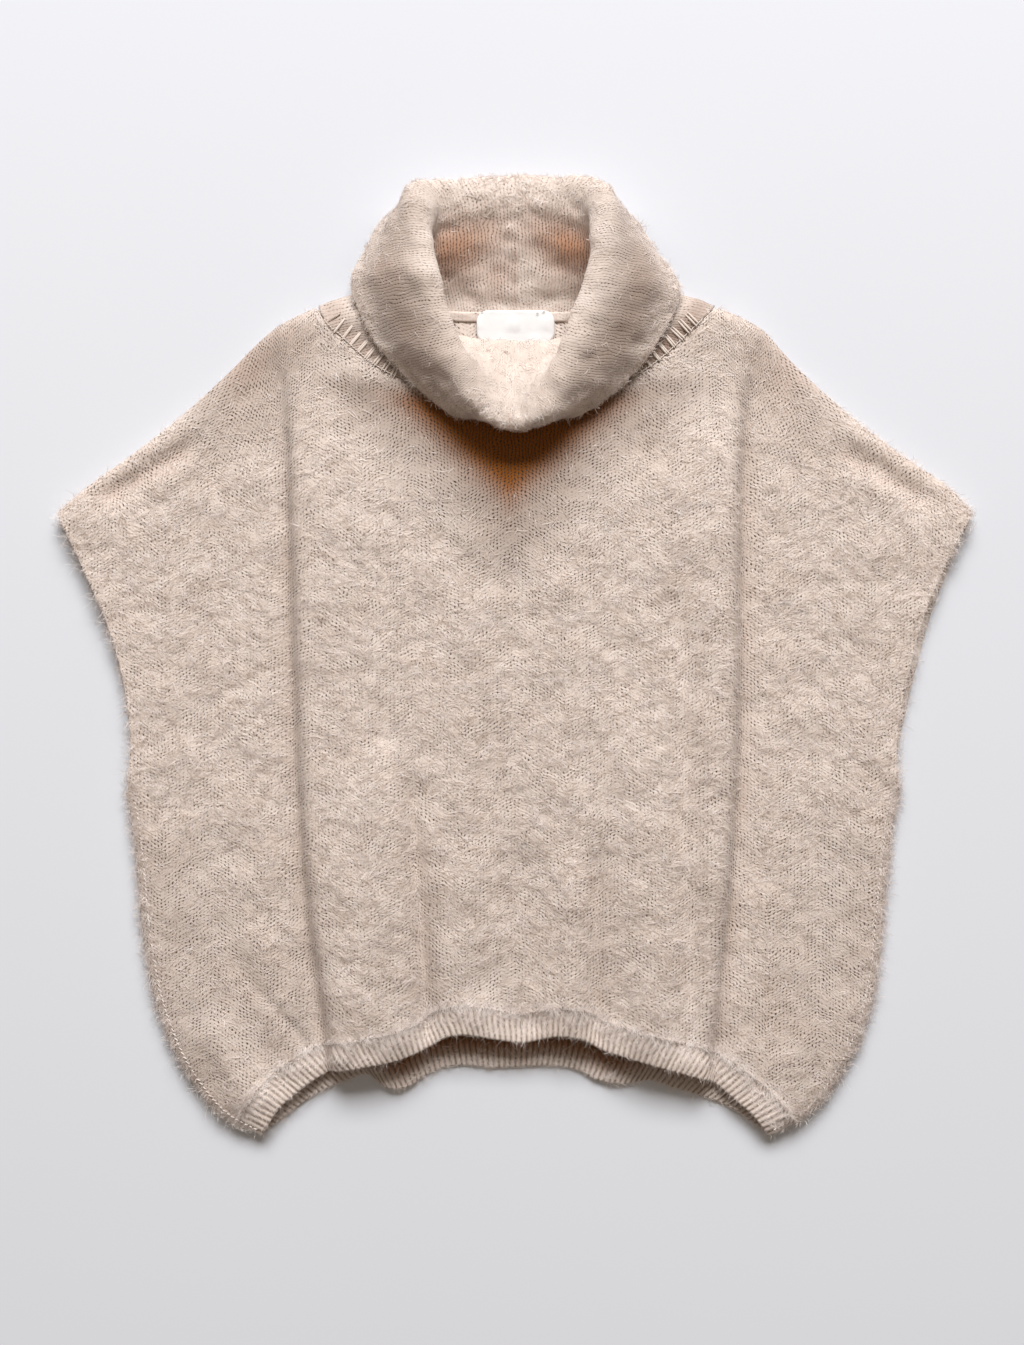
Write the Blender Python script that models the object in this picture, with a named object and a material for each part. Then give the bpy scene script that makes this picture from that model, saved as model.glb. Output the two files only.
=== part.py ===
"""Oversized knitted sweater with a poncho cut and a deep folded cowl collar.

It lies flat and face up: +X towards the wearer's left, +Y towards the collar, +Z up, and z = 0 under it.
Every piece of cloth is a wall with a real thickness. The script works in millimetres and writes metres.
"""

import bpy
import numpy as np

MM = 0.001  # metres in one millimetre
ORIGIN_Y = 0.1  # y in the tables below of the outline's middle, where the origin is put
GAP = 0.3  # clearance between pieces at every seam
SHARP_ANGLE = np.radians(50.0)  # edges sharper than this are shaded as edges

# Cloth
PANEL_WALL = 3.0  # brushed knit, front and back
RIB_WALL = 2.6  # hem bands between their ribs
COLLAR_WALL = 3.0
TAPE_WALL = 1.4
LABEL_WALL = 0.8

# Hem bands
BAND_WIDTH = 24.0
BAND_GAP = 0.6  # between panel and band, more than GAP because both bend across the long creases
RIB_PITCH = 6.8
RIB_RELIEF = 1.1  # how far a rib stands above the furrow beside it

# How high the laid-out front stands over the back
FOLD_EDGE_Z = 4.9  # middle of the front's wall where it meets the back at a closed edge
FLAP_RISE = 7.4  # from a closed edge up to the top of the side parts
FOLD_ROUND = 15.0  # how far in from a closed edge the rise takes
CENTRE_RISE = 14.0  # further rise of the middle part between the two long creases
HEM_DROP = 5.0  # the middle part sinks by this much towards the hem
STEP_WIDTH = 9.0  # width of the step up at a long crease
CREASE_DEPTH = 4.4  # the valley at the foot of that step
CREASE_WIDTH = 7.0

# Neck tape and label
TAPE_REACH = 100.0  # half its length along the back neck
LABEL_SIZE = (62.0, 26.0)
LABEL_X = 0.4
LABEL_TOP_Y = 275.5

# Outline of both panels, one row for each height: y, then x on the left and on the right
SHOULDER = (
    # y, left_x, right_x: from the tip of the sleeve end up to the neck
    (114.0, -364.0, 364.0),
    (132.5, -343.0, 347.0),
    (164.5, -299.0, 301.0),
    (196.5, -259.0, 260.5),
    (228.0, -225.0, 226.0),
    (244.0, -209.5, 211.0),
    (258.5, -193.5, 198.0),
    (268.5, -177.0, 181.0),
    (277.5, -157.0, 160.0),
)
SHOULDER_CREASE_ROW = 6  # the row where a long crease starts
ARMHOLE = (
    # y, left_x, right_x, how far inside that the front's own edge lies on the left and on the right
    (114.0, -364.0, 364.0, 0.0, 0.0),
    (73.0, -346.5, 347.5, 1.5, 5.5),
    (33.0, -329.5, 332.0, 2.5, 7.0),
    (-7.0, -317.0, 321.0, 3.0, 7.0),
    (-47.0, -309.5, 311.5, 3.0, 6.0),
    (-79.0, -306.5, 305.5, 1.0, 3.0),
    (-108.0, -309.0, 305.5, 0.0, 0.0),
)
SIDE_SEAM = (
    # y, left_x, right_x: from the armhole down to the corner of the hem
    (-108.0, -309.0, 305.5),
    (-127.0, -305.0, 301.0),
    (-166.0, -300.5, 296.5),
    (-206.0, -297.0, 292.5),
    (-246.0, -291.5, 288.5),
    (-286.0, -281.5, 280.5),
    (-325.5, -264.0, 263.0),
    (-362.0, -235.0, 234.5),
    (-380.5, -201.0, 201.0),
)
FRONT_HEM = (
    # x, y along the edge of the front hem band
    (-201.0, -380.5),
    (-187.0, -359.0),
    (-174.0, -347.5),
    (-161.0, -337.5),
    (-147.5, -330.0),
    (-120.5, -324.5),
    (-94.0, -319.0),
    (-68.0, -309.0),
    (-54.0, -301.0),
    (-39.0, -299.0),
    (-14.0, -303.0),
    (7.0, -305.5),
    (24.0, -302.0),
    (39.0, -300.0),
    (53.0, -303.0),
    (68.5, -311.0),
    (91.0, -317.5),
    (124.5, -327.5),
    (156.5, -338.0),
    (178.0, -355.0),
    (190.0, -366.0),
    (201.0, -380.5),
)
FRONT_CREASE_ROWS = (4, 18)  # the rows where the two long creases end
BACK_HEM = (
    # x, y along the edge of the back hem band
    (-201.0, -380.5),
    (-183.0, -367.0),
    (-161.5, -351.0),
    (-135.0, -338.5),
    (-117.0, -334.0),
    (-108.0, -340.5),
    (-98.0, -345.0),
    (-83.0, -342.5),
    (-74.0, -336.0),
    (-61.0, -329.5),
    (-43.0, -326.5),
    (-16.0, -328.5),
    (27.0, -327.0),
    (40.0, -328.0),
    (53.5, -332.0),
    (65.0, -338.0),
    (90.0, -341.0),
    (107.0, -338.5),
    (126.0, -344.5),
    (162.0, -355.5),
    (186.0, -369.5),
    (201.0, -380.5),
)
FRONT_NECK = (
    # x, y along the front neck seam, between the two shoulder ends
    (-157.0, 277.5),
    (-152.0, 267.0),
    (-142.0, 257.5),
    (-129.0, 245.0),
    (-114.0, 232.5),
    (-96.0, 222.0),
    (-67.0, 211.0),
    (0.0, 202.0),
    (62.0, 210.0),
    (94.0, 221.5),
    (112.0, 233.0),
    (125.0, 244.0),
    (138.0, 256.5),
    (151.0, 269.0),
    (160.0, 277.5),
)
BACK_NECK = (
    # x, y along the back neck seam
    (-157.0, 277.5),
    (-115.0, 272.5),
    (-60.0, 269.5),
    (0.0, 268.5),
    (60.0, 269.5),
    (115.0, 272.5),
    (160.0, 277.5),
)
CREASES = (
    # y, then x of the left and of the right long crease
    (202.0, -184.5, 184.0),
    (140.0, -181.0, 180.5),
    (44.0, -178.0, 179.5),
    (-35.0, -175.5, 179.0),
    (-114.0, -172.5, 176.0),
    (-193.0, -166.5, 170.5),
    (-240.0, -160.5, 166.5),
    (-288.0, -153.0, 161.5),
)

# Folds of the front: a ridge where rise is positive, a trough where it is negative
FOLDS = (
    # from x, y, to x, y, half width, rise, how far each end fades
    (-152.0, 215.0, -153.0, 5.0, 16.0, 3.6, 80.0),  # beside the left crease
    (158.0, 195.0, 157.0, -200.0, 12.0, 4.0, 60.0),  # beside the right crease
    (-106.0, -85.0, -114.0, -320.0, 27.0, 6.5, 70.0),  # broad roll above the hem, left
    (-84.0, -100.0, -66.0, -310.0, 9.0, -6.0, 60.0),  # its right foot
    (-20.0, -60.0, -20.0, -285.0, 14.0, -4.0, 70.0),
    (8.0, -150.0, 9.0, -305.0, 19.0, -5.0, 60.0),  # broad trough at the middle of the hem
    (44.0, -170.0, 44.0, -300.0, 9.0, 4.0, 55.0),
    (64.0, -160.0, 65.0, -312.0, 9.0, -5.0, 55.0),
    (92.0, -50.0, 108.0, -322.0, 17.0, 6.0, 90.0),  # long roll above the hem, right
    (129.0, 70.0, 139.0, -285.0, 10.0, -5.0, 80.0),
    (124.0, 50.0, 124.0, 8.0, 9.0, -2.5, 25.0),
    (-336.0, 122.0, -262.0, 168.0, 12.0, -3.0, 35.0),  # along the left shoulder
    (330.0, 122.0, 262.0, 166.0, 12.0, -3.0, 35.0),  # along the right shoulder
    (-206.0, 244.0, -201.0, 214.0, 13.0, -2.4, 22.0),
    (204.0, 238.0, 206.0, 210.0, 13.0, -2.4, 22.0),
    (-230.0, -222.0, -186.0, -338.0, 11.0, -4.0, 60.0),  # slanting crease of the left side
    (-246.0, -292.0, -212.0, -352.0, 15.0, 4.0, 40.0),
    (259.0, -140.0, 254.0, -245.0, 17.0, -2.6, 60.0),
    (232.0, -300.0, 212.0, -350.0, 15.0, 3.6, 40.0),
)
RISE_FADE = (262.0, 95.0, -150.0)  # y where the middle part starts to rise, is full, starts to sink
SHOULDER_SHARE = 0.2  # of the middle part's rise that is there at the shoulders already
HEM_FADE = 170.0
NECK_SINK = (8.0, 80.0)  # the middle part is this much lower at the front neck, and over this length

# Thick places of the back hem, where its band is folded on itself
BACK_HEM_FOLDS = (
    # x, half width, rise
    (-95.0, 17.0, 3.4),
    (78.0, 17.0, 2.6),
)
BACK_FOLD_TOP = -300.0  # y above which they have faded
BACK_FOLD_REACH = 30.0

# Collar: one row for each section around it, starting at the middle of the front and going to the left.
# seam is the place on the neck seam as a share of it; the other points are x, y, z of the cloth's middle.
# Throat is the inmost fold, inner the upper edge of the inner wall, tip the top of the roll, and edge the
# free edge. outer_z is the height just past the tip.
COLLAR_SECTIONS = (
    # seam, throat x, y, z, inner x, y, z, tip x, y, z, outer_z, edge x, y, z
    (0.000, 0.0, 249.0, 17.5, -1.0, 185.0, 46.5, -1.0, 176.5, 50.5, 42.0, -1.0, 188.0, 24.5),
    (0.045, -15.0, 249.0, 17.5, -15.0, 192.5, 47.0, -19.0, 182.0, 51.5, 43.5, -26.0, 188.5, 24.5),
    (0.095, -32.0, 250.0, 18.0, -27.0, 209.0, 47.5, -36.0, 197.5, 52.5, 46.0, -51.0, 191.5, 24.0),
    (0.170, -60.0, 256.0, 23.0, -40.0, 235.0, 47.0, -51.5, 228.0, 52.5, 47.0, -89.0, 224.0, 22.5),
    (0.225, -80.0, 268.0, 27.0, -49.5, 260.0, 46.0, -62.0, 257.5, 52.0, 47.0, -112.0, 251.0, 22.0),
    (0.285, -97.0, 300.0, 24.0, -58.5, 295.0, 44.5, -71.0, 296.0, 50.5, 45.5, -129.5, 293.0, 17.0),
    (0.345, -92.0, 305.0, 16.5, -66.5, 328.0, 39.5, -78.5, 331.5, 45.0, 38.5, -117.5, 324.0, 11.5),
    (0.387, -77.0, 302.5, 12.0, -66.0, 346.5, 34.0, -82.0, 356.5, 38.5, 29.5, -100.5, 349.5, 6.0),
    (0.425, -55.0, 297.5, 9.0, -61.5, 359.5, 28.0, -78.0, 371.0, 29.5, 18.0, -83.0, 340.0, 2.4),
    (0.500, 0.0, 293.0, 6.5, 0.0, 363.0, 17.5, 0.0, 380.5, 11.0, 2.6, 0.0, 309.0, 1.6),
    (0.575, 53.0, 297.5, 9.0, 53.0, 361.0, 28.0, 66.0, 374.0, 29.5, 18.0, 72.0, 341.0, 2.4),
    (0.613, 75.0, 302.5, 12.0, 61.0, 349.0, 34.0, 74.5, 357.5, 38.5, 29.5, 91.5, 349.5, 6.0),
    (0.655, 91.0, 305.0, 16.5, 61.0, 331.5, 39.5, 73.0, 335.5, 45.0, 38.5, 111.0, 322.0, 11.5),
    (0.715, 97.0, 300.0, 24.0, 55.0, 298.0, 44.5, 68.0, 299.0, 50.5, 45.5, 130.5, 290.0, 17.0),
    (0.775, 80.0, 268.0, 27.0, 44.5, 265.0, 46.0, 57.5, 262.0, 52.0, 47.0, 117.0, 256.0, 22.0),
    (0.830, 60.0, 256.0, 23.0, 32.0, 231.0, 47.0, 44.0, 224.5, 52.5, 47.0, 95.0, 225.0, 22.5),
    (0.905, 32.0, 250.0, 18.0, 17.0, 200.0, 47.5, 27.0, 190.0, 52.5, 46.0, 53.0, 191.5, 24.0),
    (0.955, 15.0, 249.0, 17.5, 8.5, 188.5, 47.0, 13.5, 179.5, 51.5, 43.5, 26.0, 188.5, 24.5),
)
SHOULDER_END_Z = 6.0  # middle of the collar's wall at the two ends of the neck opening
SHOULDER_END_GAP = 7.0  # times the seam gap, at those ends
LOW_SHARE = 0.55  # a point between the seam and the throat: how far along, and how much of the rise
LOW_RISE = 0.25
WALL_SHARE = 0.4  # a point of the inner wall between throat and inner edge
OUTER_SHARE = 0.13  # a point just past the tip, on the way to the free edge
SKIRT_SHARE = 0.5
SKIRT_CROWN = 0.08  # how far the turned-over part bulges up half way, of its fall

# Tape and label lie over one another: height of their lower sides
TAPE_SECTION = (
    # past the seam, z
    (6.0, 4.2),
    (2.0, 3.5),
    (-2.0, 3.4),
)
LABEL_SECTION = (
    # share of its length from the top, z
    (0.0, 6.1),
    (0.33, 5.3),
    (0.5, 3.8),
    (1.0, 3.4),
)

KNIT_COLOUR = (0.68, 0.58, 0.47)
LABEL_COLOUR = (0.86, 0.85, 0.82)

# How finely each piece is divided
SMOOTH_STEPS = 24  # points for each row of an outline table, before a piece is divided
COLUMN_STEPS = 60  # points down a column, before it is divided into rows
SIDE_COLUMNS = (0.0, 0.014, 0.045, 0.1, 0.19, 0.3, 0.42, 0.55, 0.68, 0.8, 0.89, 0.955, 1.0)
CREASE_COLUMNS = (0.22, 0.5)  # extra columns of the middle part, as shares of its first and last hem step
NECK_COLUMNS = 24  # along the front neck seam
BACK_NECK_COLUMNS = 26
SHOULDER_COLUMNS = (0.0, 0.35, 0.7, 1.0)  # from a long crease up to the neck
PANEL_ROWS = (0.0, 0.009, 0.024, 0.048, 0.082) + tuple(np.linspace(0.125, 1.0, 19))
BACK_ROWS = tuple(np.linspace(0.0, 1.0, 10))
BAND_ROWS = (0.0, 0.5, 1.0)
RIB_PROFILE = ((0.0, 0.0), (0.3, 1.0), (0.7, 1.0))  # place in the pitch, share of the relief
COLLAR_ROWS = 18
BACK_SHOULDER_COLUMNS = (0.0, 0.13, 0.27, 0.41, 0.55, 0.68, 0.8, 0.9, 1.0)
TAPE_COLUMNS = 16


def clear_scene():
    for old in list(bpy.data.objects):
        bpy.data.objects.remove(old, do_unlink=True)


def fabric(name, colour, roughness):
    """A plain cloth finish of one colour."""
    material = bpy.data.materials.new(name)
    material.use_nodes = True
    shader = material.node_tree.nodes["Principled BSDF"]
    shader.inputs["Base Color"].default_value = (*colour, 1.0)
    shader.inputs["Roughness"].default_value = roughness
    shader.inputs["Metallic"].default_value = 0.0
    return material


# Curves -----------------------------------------------------------------------------------------


def smooth(points):
    """A dense centripetal Catmull-Rom curve through the points, which never loops between them."""
    points = np.asarray(points, float)
    points = np.vstack([2 * points[0] - points[1], points, 2 * points[-1] - points[-2]])
    pieces = []
    for p0, p1, p2, p3 in zip(points, points[1:], points[2:], points[3:]):
        t1 = np.sqrt(np.linalg.norm(p1 - p0))
        t2 = t1 + np.sqrt(np.linalg.norm(p2 - p1))
        t3 = t2 + np.sqrt(np.linalg.norm(p3 - p2))
        t = np.linspace(t1, t2, SMOOTH_STEPS, endpoint=False)[:, None]
        a1 = (t1 - t) / t1 * p0 + t / t1 * p1
        a2 = (t2 - t) / (t2 - t1) * p1 + (t - t1) / (t2 - t1) * p2
        a3 = (t3 - t) / (t3 - t2) * p2 + (t - t2) / (t3 - t2) * p3
        b1 = (t2 - t) / t2 * a1 + t / t2 * a2
        b2 = (t3 - t) / (t3 - t1) * a2 + (t - t1) / (t3 - t1) * a3
        pieces.append((t2 - t) / (t2 - t1) * b1 + (t - t1) / (t2 - t1) * b2)
    pieces.append(points[-2][None, :])
    return np.vstack(pieces)


def shares_of(curve):
    """How far along its length each point of a curve lies, from 0 to 1."""
    steps = np.linalg.norm(np.diff(curve, axis=0), axis=1)
    return np.concatenate([[0.0], np.cumsum(steps)]) / steps.sum()


def length_of(curve):
    return np.linalg.norm(np.diff(curve, axis=0), axis=1).sum()


def along(curve, shares, carried=None):
    """Points of a dense curve, or other values carried by them, at the given shares of its length."""
    known = shares_of(curve)
    values = curve if carried is None else carried
    return np.stack([np.interp(shares, known, values[:, k]) for k in range(values.shape[1])], axis=-1)


def joined(*curves):
    """Curves that follow each other, as one."""
    return np.vstack([curves[0]] + [curve[1:] for curve in curves[1:]])


def picked(table, *columns):
    return [tuple(row[k] for k in columns) for row in table]


def smoothstep(value):
    value = np.clip(value, 0.0, 1.0)
    return value * value * (3.0 - 2.0 * value)


def distance_to(curves, x, y):
    """Distance of plan points from the nearest of some plan curves."""
    where = np.stack([x, y], axis=-1)[..., None, :]
    nearest = np.full(x.shape, np.inf)
    for curve in curves:
        start = curve[:-1]
        step = curve[1:] - start
        share = ((where - start) * step).sum(-1) / (step * step).sum(-1)
        foot = start + np.clip(share, 0.0, 1.0)[..., None] * step
        nearest = np.minimum(nearest, np.linalg.norm(where - foot, axis=-1).min(-1))
    return nearest


# Outlines of the panels --------------------------------------------------------------------------

LEFT, RIGHT = 1, 2  # columns of the outline tables
SHOULDERS = {side: smooth(picked(SHOULDER, side, 0)) for side in (LEFT, RIGHT)}
SIDE_SEAMS = {side: smooth(picked(SIDE_SEAM, side, 0)) for side in (LEFT, RIGHT)}
NECK_FRONT = smooth(FRONT_NECK)
NECK_BACK = smooth(BACK_NECK)
HEM_FRONT = smooth(FRONT_HEM)
HEM_BACK = smooth(BACK_HEM)
CREASE_TOP = SHOULDER_CREASE_ROW * SMOOTH_STEPS
CREASE_FEET = tuple(row * SMOOTH_STEPS for row in FRONT_CREASE_ROWS)


def side_edge(side, inset):
    """Armhole and side seam from the tip to the hem's corner. inset 1 gives the front's own armhole."""
    inward = 1.0 if side == LEFT else -1.0
    armhole = [(row[side] + inward * inset * row[side + 2], row[0]) for row in ARMHOLE]
    return joined(smooth(armhole), SIDE_SEAMS[side])


def crease(side):
    """A long crease in plan, from the shoulder down to the hem."""
    top = SHOULDERS[side][CREASE_TOP]
    foot = HEM_FRONT[CREASE_FEET[side - 1]]
    return smooth([tuple(top)] + picked(CREASES, side, 0) + [tuple(foot)])


CREASE = {side: crease(side) for side in (LEFT, RIGHT)}


def coons(top, bottom, left, right):
    """A plan grid [row, column, xy] between an upper and a lower row and two dense side curves."""
    u = 0.5 * (shares_of(top) + shares_of(bottom))[None, :, None]
    v = np.linspace(0.0, 1.0, COLUMN_STEPS + 1)
    left = along(left, v)[:, None]
    right = along(right, v)[:, None]
    v = v[:, None, None]
    ruled = (1 - v) * top + v * bottom + (1 - u) * left + u * right
    corners = (1 - u) * ((1 - v) * top[0] + v * bottom[0]) + u * ((1 - v) * top[-1] + v * bottom[-1])
    return ruled - corners


def front_plan():
    """The front in plan: dense columns of the left part, the middle part and the right part."""
    sides = np.array(SIDE_COLUMNS)
    left = coons(
        along(SHOULDERS[LEFT][: CREASE_TOP + 1], sides),
        along(HEM_FRONT[: CREASE_FEET[0] + 1], sides),
        side_edge(LEFT, 1),
        CREASE[LEFT],
    )
    right = coons(
        along(SHOULDERS[RIGHT][: CREASE_TOP + 1][::-1], 1.0 - sides[::-1]),
        along(HEM_FRONT[CREASE_FEET[1] :], 1.0 - sides[::-1]),
        CREASE[RIGHT],
        side_edge(RIGHT, 1),
    )
    rise = np.array(SHOULDER_COLUMNS)
    top = joined(
        along(SHOULDERS[LEFT][CREASE_TOP:], rise),
        along(NECK_FRONT, np.linspace(0.0, 1.0, NECK_COLUMNS + 1)),
        along(SHOULDERS[RIGHT][CREASE_TOP:][::-1], 1.0 - rise[::-1]),
    )
    steps = FRONT_CREASE_ROWS[1] - FRONT_CREASE_ROWS[0]
    spare = len(top) - 1 - 2 * len(CREASE_COLUMNS)
    even = np.linspace(0.0, 1.0, spare + 1)
    near = np.array(CREASE_COLUMNS) / steps
    feet = np.sort(np.concatenate([even, near, 1.0 - near]))
    hem = along(HEM_FRONT[CREASE_FEET[0] : CREASE_FEET[1] + 1], feet)
    middle = coons(top, hem, CREASE[LEFT], CREASE[RIGHT])
    return np.concatenate([left, middle[:, 1:], right[:, 1:]], axis=1)


def back_plan():
    """The back in plan, with its columns set at the rows of the hem's table."""
    top = joined(
        along(SHOULDERS[LEFT], BACK_SHOULDER_COLUMNS),
        along(NECK_BACK, np.linspace(0.0, 1.0, BACK_NECK_COLUMNS + 1)),
        along(SHOULDERS[RIGHT][::-1], 1.0 - np.array(BACK_SHOULDER_COLUMNS)[::-1]),
    )
    half = SMOOTH_STEPS // 2
    return coons(top, HEM_BACK[::half], side_edge(LEFT, 0), side_edge(RIGHT, 0))


def panel_and_band(plan, panel_rows):
    """Cuts every column of a plan grid into the panel's rows and, past the seam, the hem band's."""
    panel, band = [], []
    for line in plan.transpose(1, 0, 2):
        length = length_of(line)
        panel_end = 1.0 - (BAND_WIDTH + BAND_GAP / 2) / length
        band_start = 1.0 - (BAND_WIDTH - BAND_GAP / 2) / length
        panel.append(along(line, np.array(panel_rows) * panel_end))
        band.append(along(line, band_start + np.array(BAND_ROWS) * (1.0 - band_start)))
    return np.stack(panel, axis=1), np.stack(band, axis=1)


# Heights -----------------------------------------------------------------------------------------


def crease_x(side, y):
    line = CREASE[side][::-1]
    return np.interp(y, line[:, 1], line[:, 0])


def fold_heights(x, y):
    """The ridges and troughs of the front, added together."""
    total = np.zeros_like(x)
    for x0, y0, x1, y1, half_width, rise, fade in FOLDS:
        run = np.array([x1 - x0, y1 - y0])
        length = np.linalg.norm(run)
        run = run / length
        ahead = (x - x0) * run[0] + (y - y0) * run[1]
        aside = (x - x0) * run[1] - (y - y0) * run[0]
        ends = smoothstep(ahead / fade + 0.5) * smoothstep((length - ahead) / fade + 0.5)
        total += rise * ends * np.exp(-((aside / half_width) ** 2))
    return total


def front_height(x, y):
    """Height of the middle of the front's wall over a plan point."""
    from_left = x - crease_x(LEFT, y)
    from_right = crease_x(RIGHT, y) - x
    inside = smoothstep(from_left / STEP_WIDTH) * smoothstep(from_right / STEP_WIDTH)
    top_y, full_y, hem_y = RISE_FADE
    grown = smoothstep((top_y - y) / (top_y - full_y))
    middle = CENTRE_RISE * (SHOULDER_SHARE + (1.0 - SHOULDER_SHARE) * grown)
    middle = middle - HEM_DROP * smoothstep((hem_y - y) / HEM_FADE)
    sink, reach = NECK_SINK
    middle = middle - sink * grown * (1.0 - smoothstep(distance_to([NECK_FRONT], x, y) / reach))
    valley = np.exp(-((from_left / CREASE_WIDTH) ** 2)) + np.exp(-((from_right / CREASE_WIDTH) ** 2))
    rise = FLAP_RISE + inside * middle - CREASE_DEPTH * grown * valley + fold_heights(x, y)
    closed_edges = [*SHOULDERS.values(), *SIDE_SEAMS.values()]
    near = np.clip(distance_to(closed_edges, x, y) / FOLD_ROUND, 0.0, 1.0)
    return FOLD_EDGE_Z + rise * np.sqrt(1.0 - (1.0 - near) ** 2)


def back_fold_heights(x, y):
    """Rise of the places where the back hem is folded on itself."""
    total = np.zeros_like(x)
    for centre, half_width, rise in BACK_HEM_FOLDS:
        fade = smoothstep((BACK_FOLD_TOP - y) / BACK_FOLD_REACH)
        total += rise * fade * np.exp(-(((x - centre) / half_width) ** 2))
    return total


# Walls -------------------------------------------------------------------------------------------


def with_height(plan, height):
    return np.concatenate([plan, height[..., None]], axis=-1)


def normals_of(middle, wrap=False):
    """Unit normals of a grid [row, column, xyz], from the steps along its rows and columns."""
    down = np.gradient(middle, axis=0)
    if wrap:
        across = 0.5 * (np.roll(middle, -1, axis=1) - np.roll(middle, 1, axis=1))
    else:
        across = np.gradient(middle, axis=1)
    normal = np.cross(down, across)
    return normal / np.linalg.norm(normal, axis=-1, keepdims=True)


def add_wall(name, upper, lower, material, wrap=False):
    """A closed wall between two like grids. Where the columns wrap round, it has no side edges."""
    rows, columns = upper.shape[:2]
    count = rows * columns

    def at(row, col, under=False):
        return under * count + row * columns + col % columns

    faces = []
    last = columns if wrap else columns - 1
    for row in range(rows - 1):
        for col in range(last):
            ring = [at(row, col), at(row + 1, col), at(row + 1, col + 1), at(row, col + 1)]
            faces.append(ring)
            faces.append([count + corner for corner in reversed(ring)])
    for col in range(last):
        faces.append([at(0, col), at(0, col + 1), at(0, col + 1, True), at(0, col, True)])
        end = rows - 1
        faces.append([at(end, col, True), at(end, col + 1, True), at(end, col + 1), at(end, col)])
    if not wrap:
        for row in range(rows - 1):
            faces.append([at(row, 0), at(row, 0, True), at(row + 1, 0, True), at(row + 1, 0)])
            end = columns - 1
            faces.append([at(row + 1, end), at(row + 1, end, True), at(row, end, True), at(row, end)])
    points = np.concatenate([upper.reshape(-1, 3), lower.reshape(-1, 3)])
    points = (points - (0.0, ORIGIN_Y, 0.0)) * MM
    mesh = bpy.data.meshes.new(name)
    mesh.from_pydata(points.tolist(), [], faces)
    mesh.materials.append(material)
    mesh.shade_smooth()
    mesh.set_sharp_from_angle(angle=SHARP_ANGLE)
    item = bpy.data.objects.new(name, mesh)
    bpy.context.scene.collection.objects.link(item)
    return item


def ribbed(rows, carried):
    """Resamples a band's rows, and what they carry, at its ribs; also gives each column's relief."""
    pitch_count = round(length_of(rows[len(rows) // 2]) / RIB_PITCH)
    places, reliefs = [], []
    for rib in range(pitch_count):
        for place, relief in RIB_PROFILE:
            places.append((rib + place) / pitch_count)
            reliefs.append(relief)
    places.append(1.0)
    reliefs.append(0.0)
    points = np.stack([along(row, places) for row in rows])
    values = np.stack([along(row, places, value) for row, value in zip(rows, carried)])
    return points, values, RIB_RELIEF * np.array(reliefs)[None, :, None]


def build_front(material):
    panel, band = panel_and_band(front_plan(), PANEL_ROWS)
    plan = np.concatenate([panel, band])
    middle = with_height(plan, front_height(plan[..., 0], plan[..., 1]))
    normal = normals_of(middle)
    seam_row = len(panel)
    normal[seam_row] = normal[seam_row - 1]
    neck_start = len(SIDE_COLUMNS) + len(SHOULDER_COLUMNS) - 2
    normal[0, neck_start + 1 : neck_start + NECK_COLUMNS] = (0.0, 0.0, 1.0)
    upper = middle + normal * PANEL_WALL / 2
    lower = middle - normal * PANEL_WALL / 2
    lower[..., 2] = np.maximum(lower[..., 2], PANEL_WALL + GAP)
    add_wall("front_panel", upper[:seam_row], lower[:seam_row], material)

    inside, normal, relief = ribbed(lower[seam_row:], normal[seam_row:])
    inside[..., 2] = np.maximum(inside[..., 2], RIB_WALL + RIB_RELIEF + GAP)
    add_wall("front_hem_rib", inside + normal * (RIB_WALL + relief), inside, material)


def build_back(material):
    panel, band = panel_and_band(back_plan(), BACK_ROWS)
    rise = back_fold_heights(panel[..., 0], panel[..., 1])
    upper = with_height(panel, PANEL_WALL + rise)
    lower = with_height(panel, np.zeros_like(rise))
    add_wall("back_panel", upper, lower, material)

    rise = back_fold_heights(band[..., 0], band[..., 1])
    lower, up, relief = ribbed(with_height(band, np.zeros_like(rise)), rise[..., None] * (0.0, 0.0, 1.0))
    upper = lower + up + (RIB_WALL + relief) * (0.0, 0.0, 1.0)
    add_wall("back_hem_rib", upper, lower, material)


# Collar ------------------------------------------------------------------------------------------


def neck_ring():
    """The neck seam from the middle of the front, over the left shoulder end, round to the start.

    Returns each column's plan point on the collar's side of the seam, its height, its outward
    direction there and its share of the seam's length.
    """
    front = along(NECK_FRONT, np.linspace(0.0, 1.0, NECK_COLUMNS + 1))
    back = along(NECK_BACK, np.linspace(0.0, 1.0, BACK_NECK_COLUMNS + 1))
    half = NECK_COLUMNS // 2
    plan = np.vstack([front[half:0:-1], back, front[-2:half:-1]])
    height = front_height(plan[:, 0], plan[:, 1])
    outward = np.tile((0.0, 0.0, 1.0), (len(plan), 1))
    first, last = half, half + BACK_NECK_COLUMNS
    height[first : last + 1] = COLLAR_WALL / 2
    outward[first + 1 : last] = (0.0, 0.0, -1.0)
    height[[first, last]] = SHOULDER_END_Z
    outward[first] = (-1.0, 0.0, 0.0)
    outward[last] = (1.0, 0.0, 0.0)
    run = np.roll(plan, -1, axis=0) - np.roll(plan, 1, axis=0)
    run /= np.linalg.norm(run, axis=1, keepdims=True)
    into = np.stack([run[:, 1], -run[:, 0]], axis=1)
    into[first + 1 : last] = (0.0, 1.0)
    into[first] = (SHOULDER_END_GAP, SHOULDER_END_GAP)
    into[last] = (-SHOULDER_END_GAP, SHOULDER_END_GAP)
    ring = np.vstack([plan, plan[:1]])
    shares = shares_of(ring)[:-1]
    return with_height(plan + into * GAP, height), outward, shares


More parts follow.
